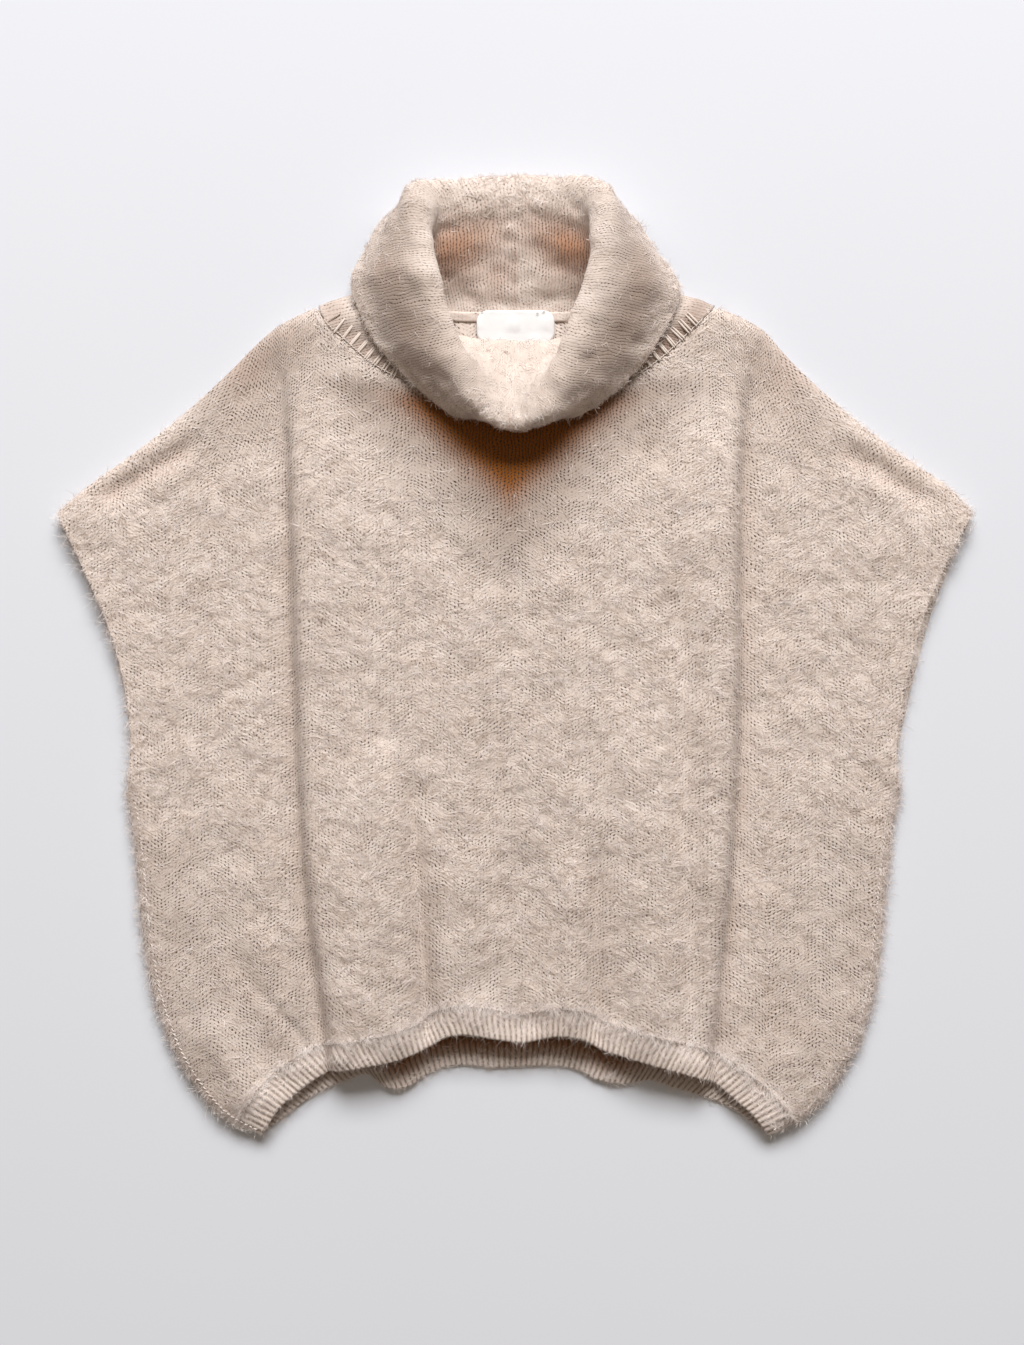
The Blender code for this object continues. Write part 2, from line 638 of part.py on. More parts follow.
def around(values, shares, at):
    """A periodic smooth curve through the sections' values, read at shares of the neck seam."""
    values = np.asarray(values, float)
    n = len(shares)
    result = []
    for share in at:
        k = int(np.searchsorted(shares, share, side="right")) - 1
        picks = [(k + step) % n for step in (-1, 0, 1, 2)]
        spots = [shares[p] + (k + step - p) // n for p, step in zip(picks, (-1, 0, 1, 2))]
        v0, v1, v2, v3 = (values[p] for p in picks)
        s0, s1, s2, s3 = spots
        t = (share - s1) / (s2 - s1)
        m1 = (v2 - v0) / (s2 - s0) * (s2 - s1)
        m2 = (v3 - v1) / (s3 - s1) * (s2 - s1)
        square, cube = t * t, t * t * t
        point = (2 * cube - 3 * square + 1) * v1 + (cube - 2 * square + t) * m1
        point = point + (3 * square - 2 * cube) * v2 + (cube - square) * m2
        result.append(point)
    return np.array(result)


def collar_profiles():
    """The collar's middle surface as a grid: rows run from the neck seam to the free edge."""
    seam, outward, at = neck_ring()
    table = np.array(COLLAR_SECTIONS)
    shares = table[:, 0]
    throat, inner, tip, outer_z, edge = (
        around(part, shares, at)
        for part in (table[:, 1:4], table[:, 4:7], table[:, 7:10], table[:, 10:11], table[:, 11:14])
    )
    columns = []
    for k in range(len(at)):
        low = seam[k] + LOW_SHARE * (throat[k] - seam[k])
        low[2] = seam[k][2] + LOW_RISE * (throat[k][2] - seam[k][2])
        wall = throat[k] + WALL_SHARE * (inner[k] - throat[k])
        outer = tip[k] + OUTER_SHARE * (edge[k] - tip[k])
        outer[2] = outer_z[k][0]
        skirt = outer + SKIRT_SHARE * (edge[k] - outer)
        skirt[2] += SKIRT_CROWN * (outer_z[k][0] - edge[k][2])
        points = [seam[k], low, throat[k], wall, inner[k], tip[k], outer, skirt, edge[k]]
        columns.append(along(smooth(points), np.linspace(0.0, 1.0, COLLAR_ROWS + 1)))
    return np.stack(columns, axis=1), outward


def build_collar(material):
    middle, outward = collar_profiles()
    normal = normals_of(middle, wrap=True)
    normal[0] = outward
    upper = middle + normal * COLLAR_WALL / 2
    lower = middle - normal * COLLAR_WALL / 2
    lowest = np.minimum(upper[..., 2], lower[..., 2])
    lift = np.maximum(0.0, -lowest)[..., None] * (0.0, 0.0, 1.0)
    add_wall("collar", upper + lift, lower + lift, material, wrap=True)


def build_tape(material):
    """The strip over the back neck seam, on the inside of the garment."""
    x = np.linspace(-TAPE_REACH, TAPE_REACH, TAPE_COLUMNS + 1)
    seam = np.interp(x, NECK_BACK[:, 0], NECK_BACK[:, 1])
    rows = []
    for past_seam, z in TAPE_SECTION:
        rows.append(np.stack([x, seam + past_seam, np.full_like(x, z)], axis=-1))
    lower = np.stack(rows)
    upper = lower + (0.0, 0.0, TAPE_WALL)
    add_wall("neck_tape", upper, lower, material)


def build_label(material):
    """A blank label that hangs from the tape onto the inside of the back."""
    width, length = LABEL_SIZE
    x = LABEL_X + np.linspace(-width / 2, width / 2, 5)
    rows = []
    for down, z in LABEL_SECTION:
        rows.append(np.stack([x, np.full_like(x, LABEL_TOP_Y - down * length), np.full_like(x, z)], axis=-1))
    lower = np.stack(rows)
    add_wall("label", lower + (0.0, 0.0, LABEL_WALL), lower, material)


def main():
    clear_scene()
    knit = fabric("brushed_mohair_knit", KNIT_COLOUR, 0.95)
    woven = fabric("woven_label", LABEL_COLOUR, 0.8)
    build_back(knit)
    build_front(knit)
    build_collar(knit)
    build_tape(knit)
    build_label(woven)


main()
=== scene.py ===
"""Looks of an oversized brushed-mohair sweater with a poncho cut, laid flat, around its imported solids.

Every sheet of cloth is a thin shell on the form of its solid, with finer creases, ribs, seams and a nap of
fibres. Lengths below are in millimetres and +Y runs towards the collar; meshes are written in metres.
"""

import math

import bpy
import numpy as np
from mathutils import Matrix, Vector


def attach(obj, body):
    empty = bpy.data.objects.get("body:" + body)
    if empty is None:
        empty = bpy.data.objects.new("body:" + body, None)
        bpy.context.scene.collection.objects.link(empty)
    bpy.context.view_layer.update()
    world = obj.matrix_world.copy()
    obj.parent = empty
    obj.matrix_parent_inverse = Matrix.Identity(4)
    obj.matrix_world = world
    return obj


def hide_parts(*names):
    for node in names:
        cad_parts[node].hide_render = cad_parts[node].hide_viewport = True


bl_info = {
    "name": "Brushed mohair sweater",
    "version": (1, 0, 0),
    "blender": (4, 5, 0),
    "location": "3D View > Sidebar > Sweater",
    "description": "Knitted panels, collar, ribs, seams and nap of an oversized sweater laid flat",
    "category": "Object",
}

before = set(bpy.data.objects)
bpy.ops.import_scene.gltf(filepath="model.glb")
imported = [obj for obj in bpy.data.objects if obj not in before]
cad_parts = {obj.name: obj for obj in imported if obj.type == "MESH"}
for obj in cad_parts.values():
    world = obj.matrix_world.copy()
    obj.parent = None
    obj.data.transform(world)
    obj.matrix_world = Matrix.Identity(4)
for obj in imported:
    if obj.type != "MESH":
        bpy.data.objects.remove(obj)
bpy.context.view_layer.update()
BODY = "root"

MM = 0.001  # metres in one millimetre
ORIGIN_Y = 0.1  # y in the tables below of the outline's middle, where the origin is put
UP = (0.0, 0.0, 1.0)
LEFT, RIGHT = 1, 2  # columns of the outline tables
SIDES = {LEFT: "left", RIGHT: "right"}
INWARD = {LEFT: 1.0, RIGHT: -1.0}  # which way along x the middle of the garment is

# Cloth
PANEL_WALL = 3.0  # brushed knit, front and back
RIB_WALL = 2.6  # hem bands between their ribs
COLLAR_WALL = 3.0
TAPE_WALL = 1.4
LABEL_WALL = 0.8
GAP = 0.3  # between pieces at a seam

# Hem bands
BAND_WIDTH = 24.0
BAND_START = 6.0  # over which the ribs grow out of the panel
RIB_PITCH = 4.4
RIB_RELIEF = 1.0
RIB_POINTS = 6  # points across one rib
RIB_UNEVEN = 0.18  # how much one rib's height differs from the next
RIB_SEED = 7

# How high the laid-out front stands over the back
FOLD_EDGE_Z = 4.9  # middle of the front's wall where it meets the back at a closed edge
FLAP_RISE = 7.4
FOLD_ROUND = 15.0
CENTRE_RISE = 14.0
HEM_DROP = 5.0
STEP_WIDTH = 9.0
CREASE_DEPTH = 4.4
CREASE_WIDTH = 7.0

# Neck tape and label
TAPE_REACH = 100.0
LABEL_SIZE = (62.0, 26.0)
LABEL_X = 0.4
LABEL_TOP_Y = 275.5
LABEL_CORNER = 9.0

# Outline of both panels, one row for each height: y, then x on the left and on the right
SHOULDER = (
    # y, left_x, right_x: from the tip of the sleeve end up to the neck
    (114.0, -364.0, 364.0),
    (132.5, -343.0, 347.0),
    (164.5, -299.0, 301.0),
    (196.5, -259.0, 260.5),
    (228.0, -225.0, 226.0),
    (244.0, -209.5, 211.0),
    (258.5, -193.5, 198.0),
    (268.5, -177.0, 181.0),
    (277.5, -157.0, 160.0),
)
SHOULDER_CREASE_ROW = 6  # the row where a long crease starts
ARMHOLE = (
    # y, left_x, right_x, how far inside that the front's own edge lies on the left and on the right
    (114.0, -364.0, 364.0, 0.0, 0.0),
    (73.0, -346.5, 347.5, 1.5, 5.5),
    (33.0, -329.5, 332.0, 2.5, 7.0),
    (-7.0, -317.0, 321.0, 3.0, 7.0),
    (-47.0, -309.5, 311.5, 3.0, 6.0),
    (-79.0, -306.5, 305.5, 1.0, 3.0),
    (-108.0, -309.0, 305.5, 0.0, 0.0),
)
SIDE_SEAM = (
    # y, left_x, right_x: from the armhole down to the corner of the hem
    (-108.0, -309.0, 305.5),
    (-127.0, -305.0, 301.0),
    (-166.0, -300.5, 296.5),
    (-206.0, -297.0, 292.5),
    (-246.0, -291.5, 288.5),
    (-286.0, -281.5, 280.5),
    (-325.5, -264.0, 263.0),
    (-362.0, -235.0, 234.5),
    (-380.5, -201.0, 201.0),
)
FRONT_HEM = (
    # x, y along the edge of the front hem band
    (-201.0, -380.5),
    (-187.0, -359.0),
    (-174.0, -347.5),
    (-161.0, -337.5),
    (-147.5, -330.0),
    (-120.5, -324.5),
    (-94.0, -319.0),
    (-68.0, -309.0),
    (-54.0, -301.0),
    (-39.0, -299.0),
    (-14.0, -303.0),
    (7.0, -305.5),
    (24.0, -302.0),
    (39.0, -300.0),
    (53.0, -303.0),
    (68.5, -311.0),
    (91.0, -317.5),
    (124.5, -327.5),
    (156.5, -338.0),
    (178.0, -355.0),
    (190.0, -366.0),
    (201.0, -380.5),
)
FRONT_CREASE_ROWS = (4, 18)  # the rows where the two long creases end
BACK_HEM = (
    # x, y along the edge of the back hem band
    (-201.0, -380.5),
    (-183.0, -367.0),
    (-161.5, -351.0),
    (-135.0, -338.5),
    (-117.0, -334.0),
    (-108.0, -340.5),
    (-98.0, -345.0),
    (-83.0, -342.5),
    (-74.0, -336.0),
    (-61.0, -329.5),
    (-43.0, -326.5),
    (-16.0, -328.5),
    (27.0, -327.0),
    (40.0, -328.0),
    (53.5, -332.0),
    (65.0, -338.0),
    (90.0, -341.0),
    (107.0, -338.5),
    (126.0, -344.5),
    (162.0, -355.5),
    (186.0, -369.5),
    (201.0, -380.5),
)
FRONT_NECK = (
    # x, y along the front neck seam, between the two shoulder ends
    (-157.0, 277.5),
    (-152.0, 267.0),
    (-142.0, 257.5),
    (-129.0, 245.0),
    (-114.0, 232.5),
    (-96.0, 222.0),
    (-67.0, 211.0),
    (0.0, 202.0),
    (62.0, 210.0),
    (94.0, 221.5),
    (112.0, 233.0),
    (125.0, 244.0),
    (138.0, 256.5),
    (151.0, 269.0),
    (160.0, 277.5),
)
BACK_NECK = (
    # x, y along the back neck seam
    (-157.0, 277.5),
    (-115.0, 272.5),
    (-60.0, 269.5),
    (0.0, 268.5),
    (60.0, 269.5),
    (115.0, 272.5),
    (160.0, 277.5),
)
CREASES = (
    # y, then x of the left and of the right long crease
    (202.0, -184.5, 184.0),
    (140.0, -181.0, 180.5),
    (44.0, -178.0, 179.5),
    (-35.0, -175.5, 179.0),
    (-114.0, -172.5, 176.0),
    (-193.0, -166.5, 170.5),
    (-240.0, -160.5, 166.5),
    (-288.0, -153.0, 161.5),
)

# Folds of the front: a ridge where rise is positive, a trough where it is negative
FOLDS = (
    # from x, y, to x, y, half width, rise, how far each end fades
    (-152.0, 215.0, -153.0, 5.0, 16.0, 3.6, 80.0),  # beside the left crease
    (158.0, 195.0, 157.0, -200.0, 12.0, 4.0, 60.0),  # beside the right crease
    (-106.0, -85.0, -114.0, -320.0, 27.0, 6.5, 70.0),  # broad roll above the hem, left
    (-84.0, -100.0, -66.0, -310.0, 9.0, -6.0, 60.0),  # its right foot
    (-20.0, -60.0, -20.0, -285.0, 14.0, -4.0, 70.0),
    (8.0, -150.0, 9.0, -305.0, 19.0, -5.0, 60.0),  # broad trough at the middle of the hem
    (44.0, -170.0, 44.0, -300.0, 9.0, 4.0, 55.0),
    (64.0, -160.0, 65.0, -312.0, 9.0, -5.0, 55.0),
    (92.0, -50.0, 108.0, -322.0, 17.0, 6.0, 90.0),  # long roll above the hem, right
    (129.0, 70.0, 139.0, -285.0, 10.0, -5.0, 80.0),
    (124.0, 50.0, 124.0, 8.0, 9.0, -2.5, 25.0),
    (-336.0, 122.0, -262.0, 168.0, 12.0, -3.0, 35.0),  # along the left shoulder
    (330.0, 122.0, 262.0, 166.0, 12.0, -3.0, 35.0),  # along the right shoulder
    (-206.0, 244.0, -201.0, 214.0, 13.0, -2.4, 22.0),
    (204.0, 238.0, 206.0, 210.0, 13.0, -2.4, 22.0),
    (-230.0, -222.0, -186.0, -338.0, 11.0, -4.0, 60.0),  # slanting crease of the left side
    (-246.0, -292.0, -212.0, -352.0, 15.0, 4.0, 40.0),
    (259.0, -140.0, 254.0, -245.0, 17.0, -2.6, 60.0),
    (232.0, -300.0, 212.0, -350.0, 15.0, 3.6, 40.0),
)
RISE_FADE = (262.0, 95.0, -150.0)  # y where the middle part starts to rise, is full, starts to sink
SHOULDER_SHARE = 0.2  # of the middle part's rise that is there at the shoulders already
HEM_FADE = 170.0
NECK_SINK = (8.0, 80.0)  # the middle part is this much lower at the front neck, and over this length

# Thick places of the back hem, where its band is folded on itself
BACK_HEM_FOLDS = (
    # x, half width, rise
    (-95.0, 17.0, 3.4),
    (78.0, 17.0, 2.6),
)
BACK_FOLD_TOP = -300.0  # y above which they have faded
BACK_FOLD_REACH = 30.0

# Collar: one row for each section around it, starting at the middle of the front and going to the left.
# seam is the place on the neck seam as a share of it; the other points are x, y, z of the cloth's middle.
# Throat is the inmost fold, inner the upper edge of the inner wall, tip the top of the roll, and edge the
# free edge. outer_z is the height just past the tip.
COLLAR_SECTIONS = (
    # seam, throat x, y, z, inner x, y, z, tip x, y, z, outer_z, edge x, y, z
    (0.000, 0.0, 249.0, 17.5, -1.0, 185.0, 46.5, -1.0, 176.5, 50.5, 42.0, -1.0, 188.0, 24.5),
    (0.045, -15.0, 249.0, 17.5, -15.0, 192.5, 47.0, -19.0, 182.0, 51.5, 43.5, -26.0, 188.5, 24.5),
    (0.095, -32.0, 250.0, 18.0, -27.0, 209.0, 47.5, -36.0, 197.5, 52.5, 46.0, -51.0, 191.5, 24.0),
    (0.170, -60.0, 256.0, 23.0, -40.0, 235.0, 47.0, -51.5, 228.0, 52.5, 47.0, -89.0, 224.0, 22.5),
    (0.225, -80.0, 268.0, 27.0, -49.5, 260.0, 46.0, -62.0, 257.5, 52.0, 47.0, -112.0, 251.0, 22.0),
    (0.285, -97.0, 300.0, 24.0, -58.5, 295.0, 44.5, -71.0, 296.0, 50.5, 45.5, -129.5, 293.0, 17.0),
    (0.345, -92.0, 305.0, 16.5, -66.5, 328.0, 39.5, -78.5, 331.5, 45.0, 38.5, -117.5, 324.0, 11.5),
    (0.387, -77.0, 302.5, 12.0, -66.0, 346.5, 34.0, -82.0, 356.5, 38.5, 29.5, -100.5, 349.5, 6.0),
    (0.425, -55.0, 297.5, 9.0, -61.5, 359.5, 28.0, -78.0, 371.0, 29.5, 18.0, -83.0, 340.0, 2.4),
    (0.500, 0.0, 293.0, 6.5, 0.0, 363.0, 17.5, 0.0, 380.5, 11.0, 2.6, 0.0, 309.0, 1.6),
    (0.575, 53.0, 297.5, 9.0, 53.0, 361.0, 28.0, 66.0, 374.0, 29.5, 18.0, 72.0, 341.0, 2.4),
    (0.613, 75.0, 302.5, 12.0, 61.0, 349.0, 34.0, 74.5, 357.5, 38.5, 29.5, 91.5, 349.5, 6.0),
    (0.655, 91.0, 305.0, 16.5, 61.0, 331.5, 39.5, 73.0, 335.5, 45.0, 38.5, 111.0, 322.0, 11.5),
    (0.715, 97.0, 300.0, 24.0, 55.0, 298.0, 44.5, 68.0, 299.0, 50.5, 45.5, 130.5, 290.0, 17.0),
    (0.775, 80.0, 268.0, 27.0, 44.5, 265.0, 46.0, 57.5, 262.0, 52.0, 47.0, 117.0, 256.0, 22.0),
    (0.830, 60.0, 256.0, 23.0, 32.0, 231.0, 47.0, 44.0, 224.5, 52.5, 47.0, 95.0, 225.0, 22.5),
    (0.905, 32.0, 250.0, 18.0, 17.0, 200.0, 47.5, 27.0, 190.0, 52.5, 46.0, 53.0, 191.5, 24.0),
    (0.955, 15.0, 249.0, 17.5, 8.5, 188.5, 47.0, 13.5, 179.5, 51.5, 43.5, 26.0, 188.5, 24.5),
)
SHOULDER_END_Z = 6.0  # middle of the collar's wall at the two ends of the neck opening
SHOULDER_END_GAP = 7.0  # times the seam gap, at those ends
LOW_SHARE = 0.55  # a point between the seam and the throat: how far along, and how much of the rise
LOW_RISE = 0.25
WALL_SHARE = 0.4  # a point of the inner wall between throat and inner edge
OUTER_SHARE = 0.13  # a point just past the tip, on the way to the free edge
SKIRT_SHARE = 0.5
SKIRT_CROWN = 0.08  # how far the turned-over part bulges up half way, of its fall

# Tape and label lie over one another: height of their lower sides
TAPE_SECTION = (
    # past the seam, z
    (6.0, 4.2),
    (2.0, 3.5),
    (-2.0, 3.4),
)
LABEL_SECTION = (
    # share of its length from the top, z
    (0.0, 6.1),
    (0.35, 5.3),
    (0.7, 4.2),
    (1.0, 3.4),
)

# Small creases of the front beyond its folds: troughs where depth is positive, ridges where it is negative
CREASE_MARKS = (
    # from x, y, to x, y, half width, depth, how far each end fades
    (-82.0, -110.0, -69.0, -318.0, 5.5, 2.8, 70.0),
    (-97.0, -150.0, -88.0, -318.0, 8.0, -1.8, 60.0),
    (-139.0, -120.0, -131.0, -326.0, 9.0, -1.8, 70.0),
    (-168.0, -60.0, -156.0, -325.0, 4.5, 2.2, 60.0),
    (164.0, -60.0, 160.0, -325.0, 4.5, 2.0, 60.0),
    (-208.0, -258.0, -158.0, -318.0, 5.0, 1.8, 30.0),
    (-228.0, -240.0, -190.0, -318.0, 9.0, -1.6, 36.0),
    (-252.0, -262.0, -214.0, -346.0, 9.0, -1.4, 36.0),
    (64.0, -170.0, 66.0, -312.0, 5.0, 2.2, 60.0),
    (20.0, -190.0, 14.0, -300.0, 6.0, 1.6, 50.0),
    (-30.0, -150.0, -30.0, -296.0, 8.0, -1.5, 50.0),
    (-334.0, 122.0, -258.0, 166.0, 8.0, 2.4, 40.0),
    (330.0, 120.0, 260.0, 164.0, 8.0, 2.2, 40.0),
    (-346.0, 128.0, -262.0, 182.0, 6.0, -1.2, 40.0),
    (340.0, 130.0, 264.0, 180.0, 6.0, -1.2, 40.0),
    (-262.0, 166.0, -205.0, 214.0, 7.0, 0.9, 40.0),
    (-300.0, 108.0, -232.0, 152.0, 6.0, 0.8, 26.0),
    (268.0, 140.0, 214.0, 178.0, 7.0, 0.9, 34.0),
    (296.0, 74.0, 246.0, 96.0, 5.0, -0.7, 20.0),
    (-284.0, 34.0, -216.0, 58.0, 8.0, 0.7, 28.0),
    (-276.0, -60.0, -214.0, -22.0, 9.0, 0.7, 30.0),
    (-262.0, -160.0, -206.0, -204.0, 8.0, 0.9, 30.0),
    (-196.0, -246.0, -236.0, -300.0, 7.0, -1.0, 26.0),
    (206.0, -36.0, 276.0, -6.0, 9.0, 0.7, 30.0),
    (212.0, -170.0, 262.0, -128.0, 8.0, 0.8, 28.0),
    (206.0, -262.0, 246.0, -322.0, 7.0, -0.9, 28.0),
    (-150.0, 96.0, -112.0, 20.0, 8.0, -0.8, 34.0),
    (-120.0, -20.0, -136.0, -120.0, 7.0, 0.9, 36.0),
    (128.0, 150.0, 116.0, 66.0, 8.0, 0.8, 36.0),
    (110.0, 20.0, 118.0, -90.0, 7.0, -1.0, 40.0),
    (-60.0, 120.0, -22.0, 30.0, 12.0, 0.6, 44.0),
    (36.0, 60.0, 60.0, -60.0, 12.0, -0.6, 50.0),
    (-36.0, -190.0, -40.0, -292.0, 7.0, 1.2, 40.0),
    (24.0, -210.0, 26.0, -296.0, 6.0, -1.1, 34.0),
    (84.0, -220.0, 82.0, -314.0, 6.0, 1.2, 36.0),
    (-140.0, -230.0, -136.0, -322.0, 7.0, -1.3, 36.0),
    (138.0, -250.0, 150.0, -332.0, 6.0, 1.1, 30.0),
    (-110.0, 222.0, -86.0, 186.0, 6.0, 0.8, 20.0),
    (108.0, 222.0, 86.0, 184.0, 6.0, 0.8, 20.0),
)
# Creases of the back where it rests: soft dents into its lower side, on the side that isn't shown
UNDER_MARKS = (
    # from x, y, to x, y, half width, depth, how far each end fades
    (-316.0, 116.0, -214.0, 190.0, 10.0, 0.8, 40.0),
    (306.0, 112.0, 206.0, 188.0, 9.0, 0.9, 36.0),
    (-262.0, 20.0, -240.0, -130.0, 12.0, 0.9, 60.0),
    (248.0, 40.0, 226.0, -150.0, 11.0, 0.8, 60.0),
    (-120.0, 180.0, -132.0, -60.0, 10.0, 0.9, 80.0),
    (96.0, 160.0, 120.0, -110.0, 12.0, 0.8, 80.0),
    (-20.0, 60.0, -34.0, -170.0, 13.0, 0.7, 70.0),
    (46.0, -120.0, 60.0, -290.0, 10.0, 0.9, 60.0),
    (-96.0, -150.0, -84.0, -300.0, 9.0, 0.9, 50.0),
    (200.0, -190.0, 172.0, -310.0, 10.0, 0.8, 40.0),
)
# Dents of the collar's inner wall and of its roll
COLLAR_DENTS = (
    # share round the neck, share from the seam to the free edge, half width, half height, depth
    (0.432, 0.335, 15.0, 14.0, 5.0),
    (0.566, 0.33, 14.0, 13.0, 5.0),
    (0.497, 0.315, 9.0, 12.0, 1.6),
    (0.375, 0.78, 18.0, 16.0, 1.8),
    (0.655, 0.72, 16.0, 20.0, 2.0),
    (0.285, 0.66, 14.0, 22.0, 1.6),
    (0.715, 0.84, 15.0, 16.0, 1.5),
    (0.17, 0.78, 18.0, 14.0, 1.4),
    (0.84, 0.76, 18.0, 15.0, 1.4),
)

# How finely each shell is divided
SMOOTH_STEPS = 14  # points for each row of an outline table
COLUMN_STEPS = 90
RIM_SHARES = (0.0, 0.0022, 0.006, 0.013)  # first columns and rows at an edge that is rounded off
BAND_RIM = 6.0  # times that on a hem band, which is short
SIDE_STEPS = 34
MIDDLE_STEPS = 92
FRONT_ROWS = 128
BACK_COLUMNS_STEP = 3  # one back column for this many points of the hem's curve
BACK_ROWS = 90
BAND_ROWS = 7
NECK_COLUMNS = 24  # points of the neck seam's front and back that the collar starts from
BACK_NECK_COLUMNS = 26
COLLAR_AROUND = 210
COLLAR_ROWS = 84
COLLAR_EDGE_SHARES = (0.985, 0.991, 0.996, 0.9985, 1.0)  # its last rows, close to the rounded free edge
TAPE_STEPS = 80
TAPE_ROWS = 8
LABEL_STEPS = (36, 18)

# Rounded edges
RIM_ROUND = 1.6  # how far in from a free edge its rounding reaches
RIM_LEFT = 0.25  # share of the wall that is left at the edge itself

# Unevenness of each cloth: height, wavelength and seed of its fields of waves
WAVES = 16  # plane waves in one field
WAVE_RANGE = (0.6, 1.5)  # how many of them go to a wavelength
PANEL_UNREST = ((0.5, 52.0, 11), (0.22, 19.0, 12))
COLLAR_UNREST = ((0.5, 34.0, 21), (0.28, 15.0, 22))
TAPE_UNREST = ((0.25, 7.0, 31),)
LABEL_UNREST = ((0.3, 24.0, 41),)
FREE_FROM = 12.0  # how far from its seams and closed edges a panel is quite free

# Collar
COLLAR_TURN = 0.07  # share of the collar's depth over which its wall turns from lying to its own way
ROLL_START = (0.42, 0.08)  # share of the collar's depth where its roll starts, and over how much
ROLL_END = (0.94, 0.1)
ROLL_EASE = 1.6  # how much higher than the solid's the roll's outer side is
ROLL_SOFTENING = 10  # rounds of smoothing that make the roll full
ROLL_FILL = 1.8  # how far it is then let out again
RELIEF_FADE = (0.06, 0.03)  # shares of the depth over which dents fade, at the seam and at the free edge
COLLAR_SEAM_SHARE = 0.499  # where the collar's own seam runs, at the middle of the back
COLLAR_SEAM_REACH = (8.0, 96.0, 16.0)  # how far up it is full, where it is gone, over what length it fades
COLLAR_SEAM_DENT = (1.7, 2.6)  # depth and half width
COLLAR_SEAM_SWAY = (1.2, 14.0)  # how far it sways aside, and how slowly
COLLAR_SEAM_PUCKER = (0.5, 2.6)  # how much its depth varies, and how slowly

# Knit
COLLAR_STITCHES = 270  # stitch columns round the collar
WALE = 2.8  # width of one column of stitches; the real one is 2.4, too fine to show in a render
COURSE = 2.9  # height of one row of stitches
FAN = 0.35  # how far the stitch columns of the shoulders lean towards the neck
FAN_START = (150.0, 150.0)  # distance from the middle, and y, past which they lean
FAN_WIDTH = 60.0  # over which they come to lean
CHEVRON = 40.0  # width over which the nap leans one way before it turns
CHEVRON_SLOPE = 0.62  # tangent of its lean
STROKE_LENGTH = 9.0  # brushed strokes of the nap
STROKE_WIDTH = 1.3
DRIFTS = (
    # size and detail of a noise, and how far it moves the stitches across and along their columns
    (14.0, 1.0, (5.0, 5.0, 0.0)),
    (4.5, 0.0, (1.6, 2.6, 0.0)),
)
FURROW = (0.27, 0.5)  # how far from a stitch's middle, in stitches, its side starts to darken and is dark
ROW_GAP = (0.2, 0.46)  # the same for a row
THIN_PATCH = 11.0  # size of the patches where the painted shade of the gaps shows
THIN_RANGE = (0.42, 0.6)  # noise values at which they start and are full
TONE_PATCH = 45.0  # size of the lighter and darker patches of yarn
STROKE_TONE = 1.2  # how much the strokes count in them
WARM_SHADE_LINES = 0.35  # how dark furrows get in the painted warm shade
WARM_SHADE_CORE = 1.6  # power that keeps the colour of the painted warm shade to the middle of its place
RIB_VALLEY = (0.2, 0.9)  # heights on a rib between which its valley's shade fades
STROKE_HEIGHT = 0.6  # shares of the relief, of which furrows and gaps go down
FURROW_HEIGHT = -1.2
GAP_HEIGHT = -0.9
KNITS = {
    # how dark the painted shade in the gaps gets, the least share of them that shows, how dark the painted
    # shade in the furrows between stitch columns and between rows is, relief in millimetres, how much
    # painted shade darkens the valleys between ribs
    "brushed mohair knit": {"gaps": 1.5, "bare": 0.2, "lines": 0.0, "rows": 0.13, "relief": 0.9},
    "smooth mohair knit": {"gaps": 1.0, "bare": 0.1, "lines": 0.12, "rows": 0.0, "relief": 0.6},
    "ribbed mohair knit": {"gaps": 0.3, "bare": 0.1, "lines": 0.0, "rows": 0.0, "relief": 0.3, "ribs": 0.62},
    "linked knit tape": {"gaps": 0.4, "bare": 0.1, "lines": 0.05, "rows": 0.05, "relief": 0.3},
}

# What the shells carry for their materials and their nap
KNIT_MAP = "knit"  # UV map that runs across and along the stitch columns, in metres
RIDGES = "ridges"  # 1 on top of a rib and 0 between ribs
WARM_SHADE = "worn"  # 1 where a warm brown painted shade lies on the yarn, and where it thins the nap
SHADED = "shaded"  # how much painted shade a place has, towards the dark of the gaps
GROW = "grow"  # how thick the nap is
LAY = "lay"  # which way it lies

# The V of painted shadow below the collar, in warm brown: x and y of the middle of its upper side, its half
# width and its depth
NECK_SHADOW = (-4.0, 204.0, 124.0, 114.0)
NECK_SHADOW_FADE = 0.42  # share of the V over which it fades
NECK_SHADOW_TOP = 224.0
NECK_SHADE = (0.85, 0.25, 0.42, 0.5)  # painted shade round the rim of the V: its place, reach inwards and outwards, and how much
NECK_SHADE_TOP = 238.0
NECK_TOP_FADE = 26.0

# Other places of painted shade, in warm brown and in the dark of the gaps
CREASE_WARM_SHADE = (12.0, 0.14)  # painted warm shade: reach to each side of a long crease, and how much
CREASE_SHADE = (9.0, 0.24)
FRONT_WARM_SHADE = (
    # from x, y, to x, y, half width, how much, how far each end fades: painted warm shade on the shoulders,
    # in their troughs, at the low corners and at the feet of two folds
    (-234.0, 222.0, -164.0, 262.0, 26.0, 0.3, 50.0),
    (172.0, 260.0, 238.0, 216.0, 26.0, 0.26, 50.0),
    (-212.0, 232.0, -206.0, 150.0, 40.0, 0.16, 70.0),
    (210.0, 232.0, 208.0, 150.0, 40.0, 0.14, 70.0),
    (-336.0, 122.0, -256.0, 168.0, 13.0, 0.34, 40.0),
    (334.0, 118.0, 258.0, 166.0, 13.0, 0.3, 40.0),
    (-216.0, -250.0, -176.0, -330.0, 26.0, 0.16, 60.0),
    (214.0, -250.0, 176.0, -330.0, 26.0, 0.14, 60.0),
    (-70.0, -170.0, -66.0, -310.0, 10.0, 0.12, 70.0),
    (64.0, -190.0, 66.0, -310.0, 9.0, 0.1, 60.0),
)
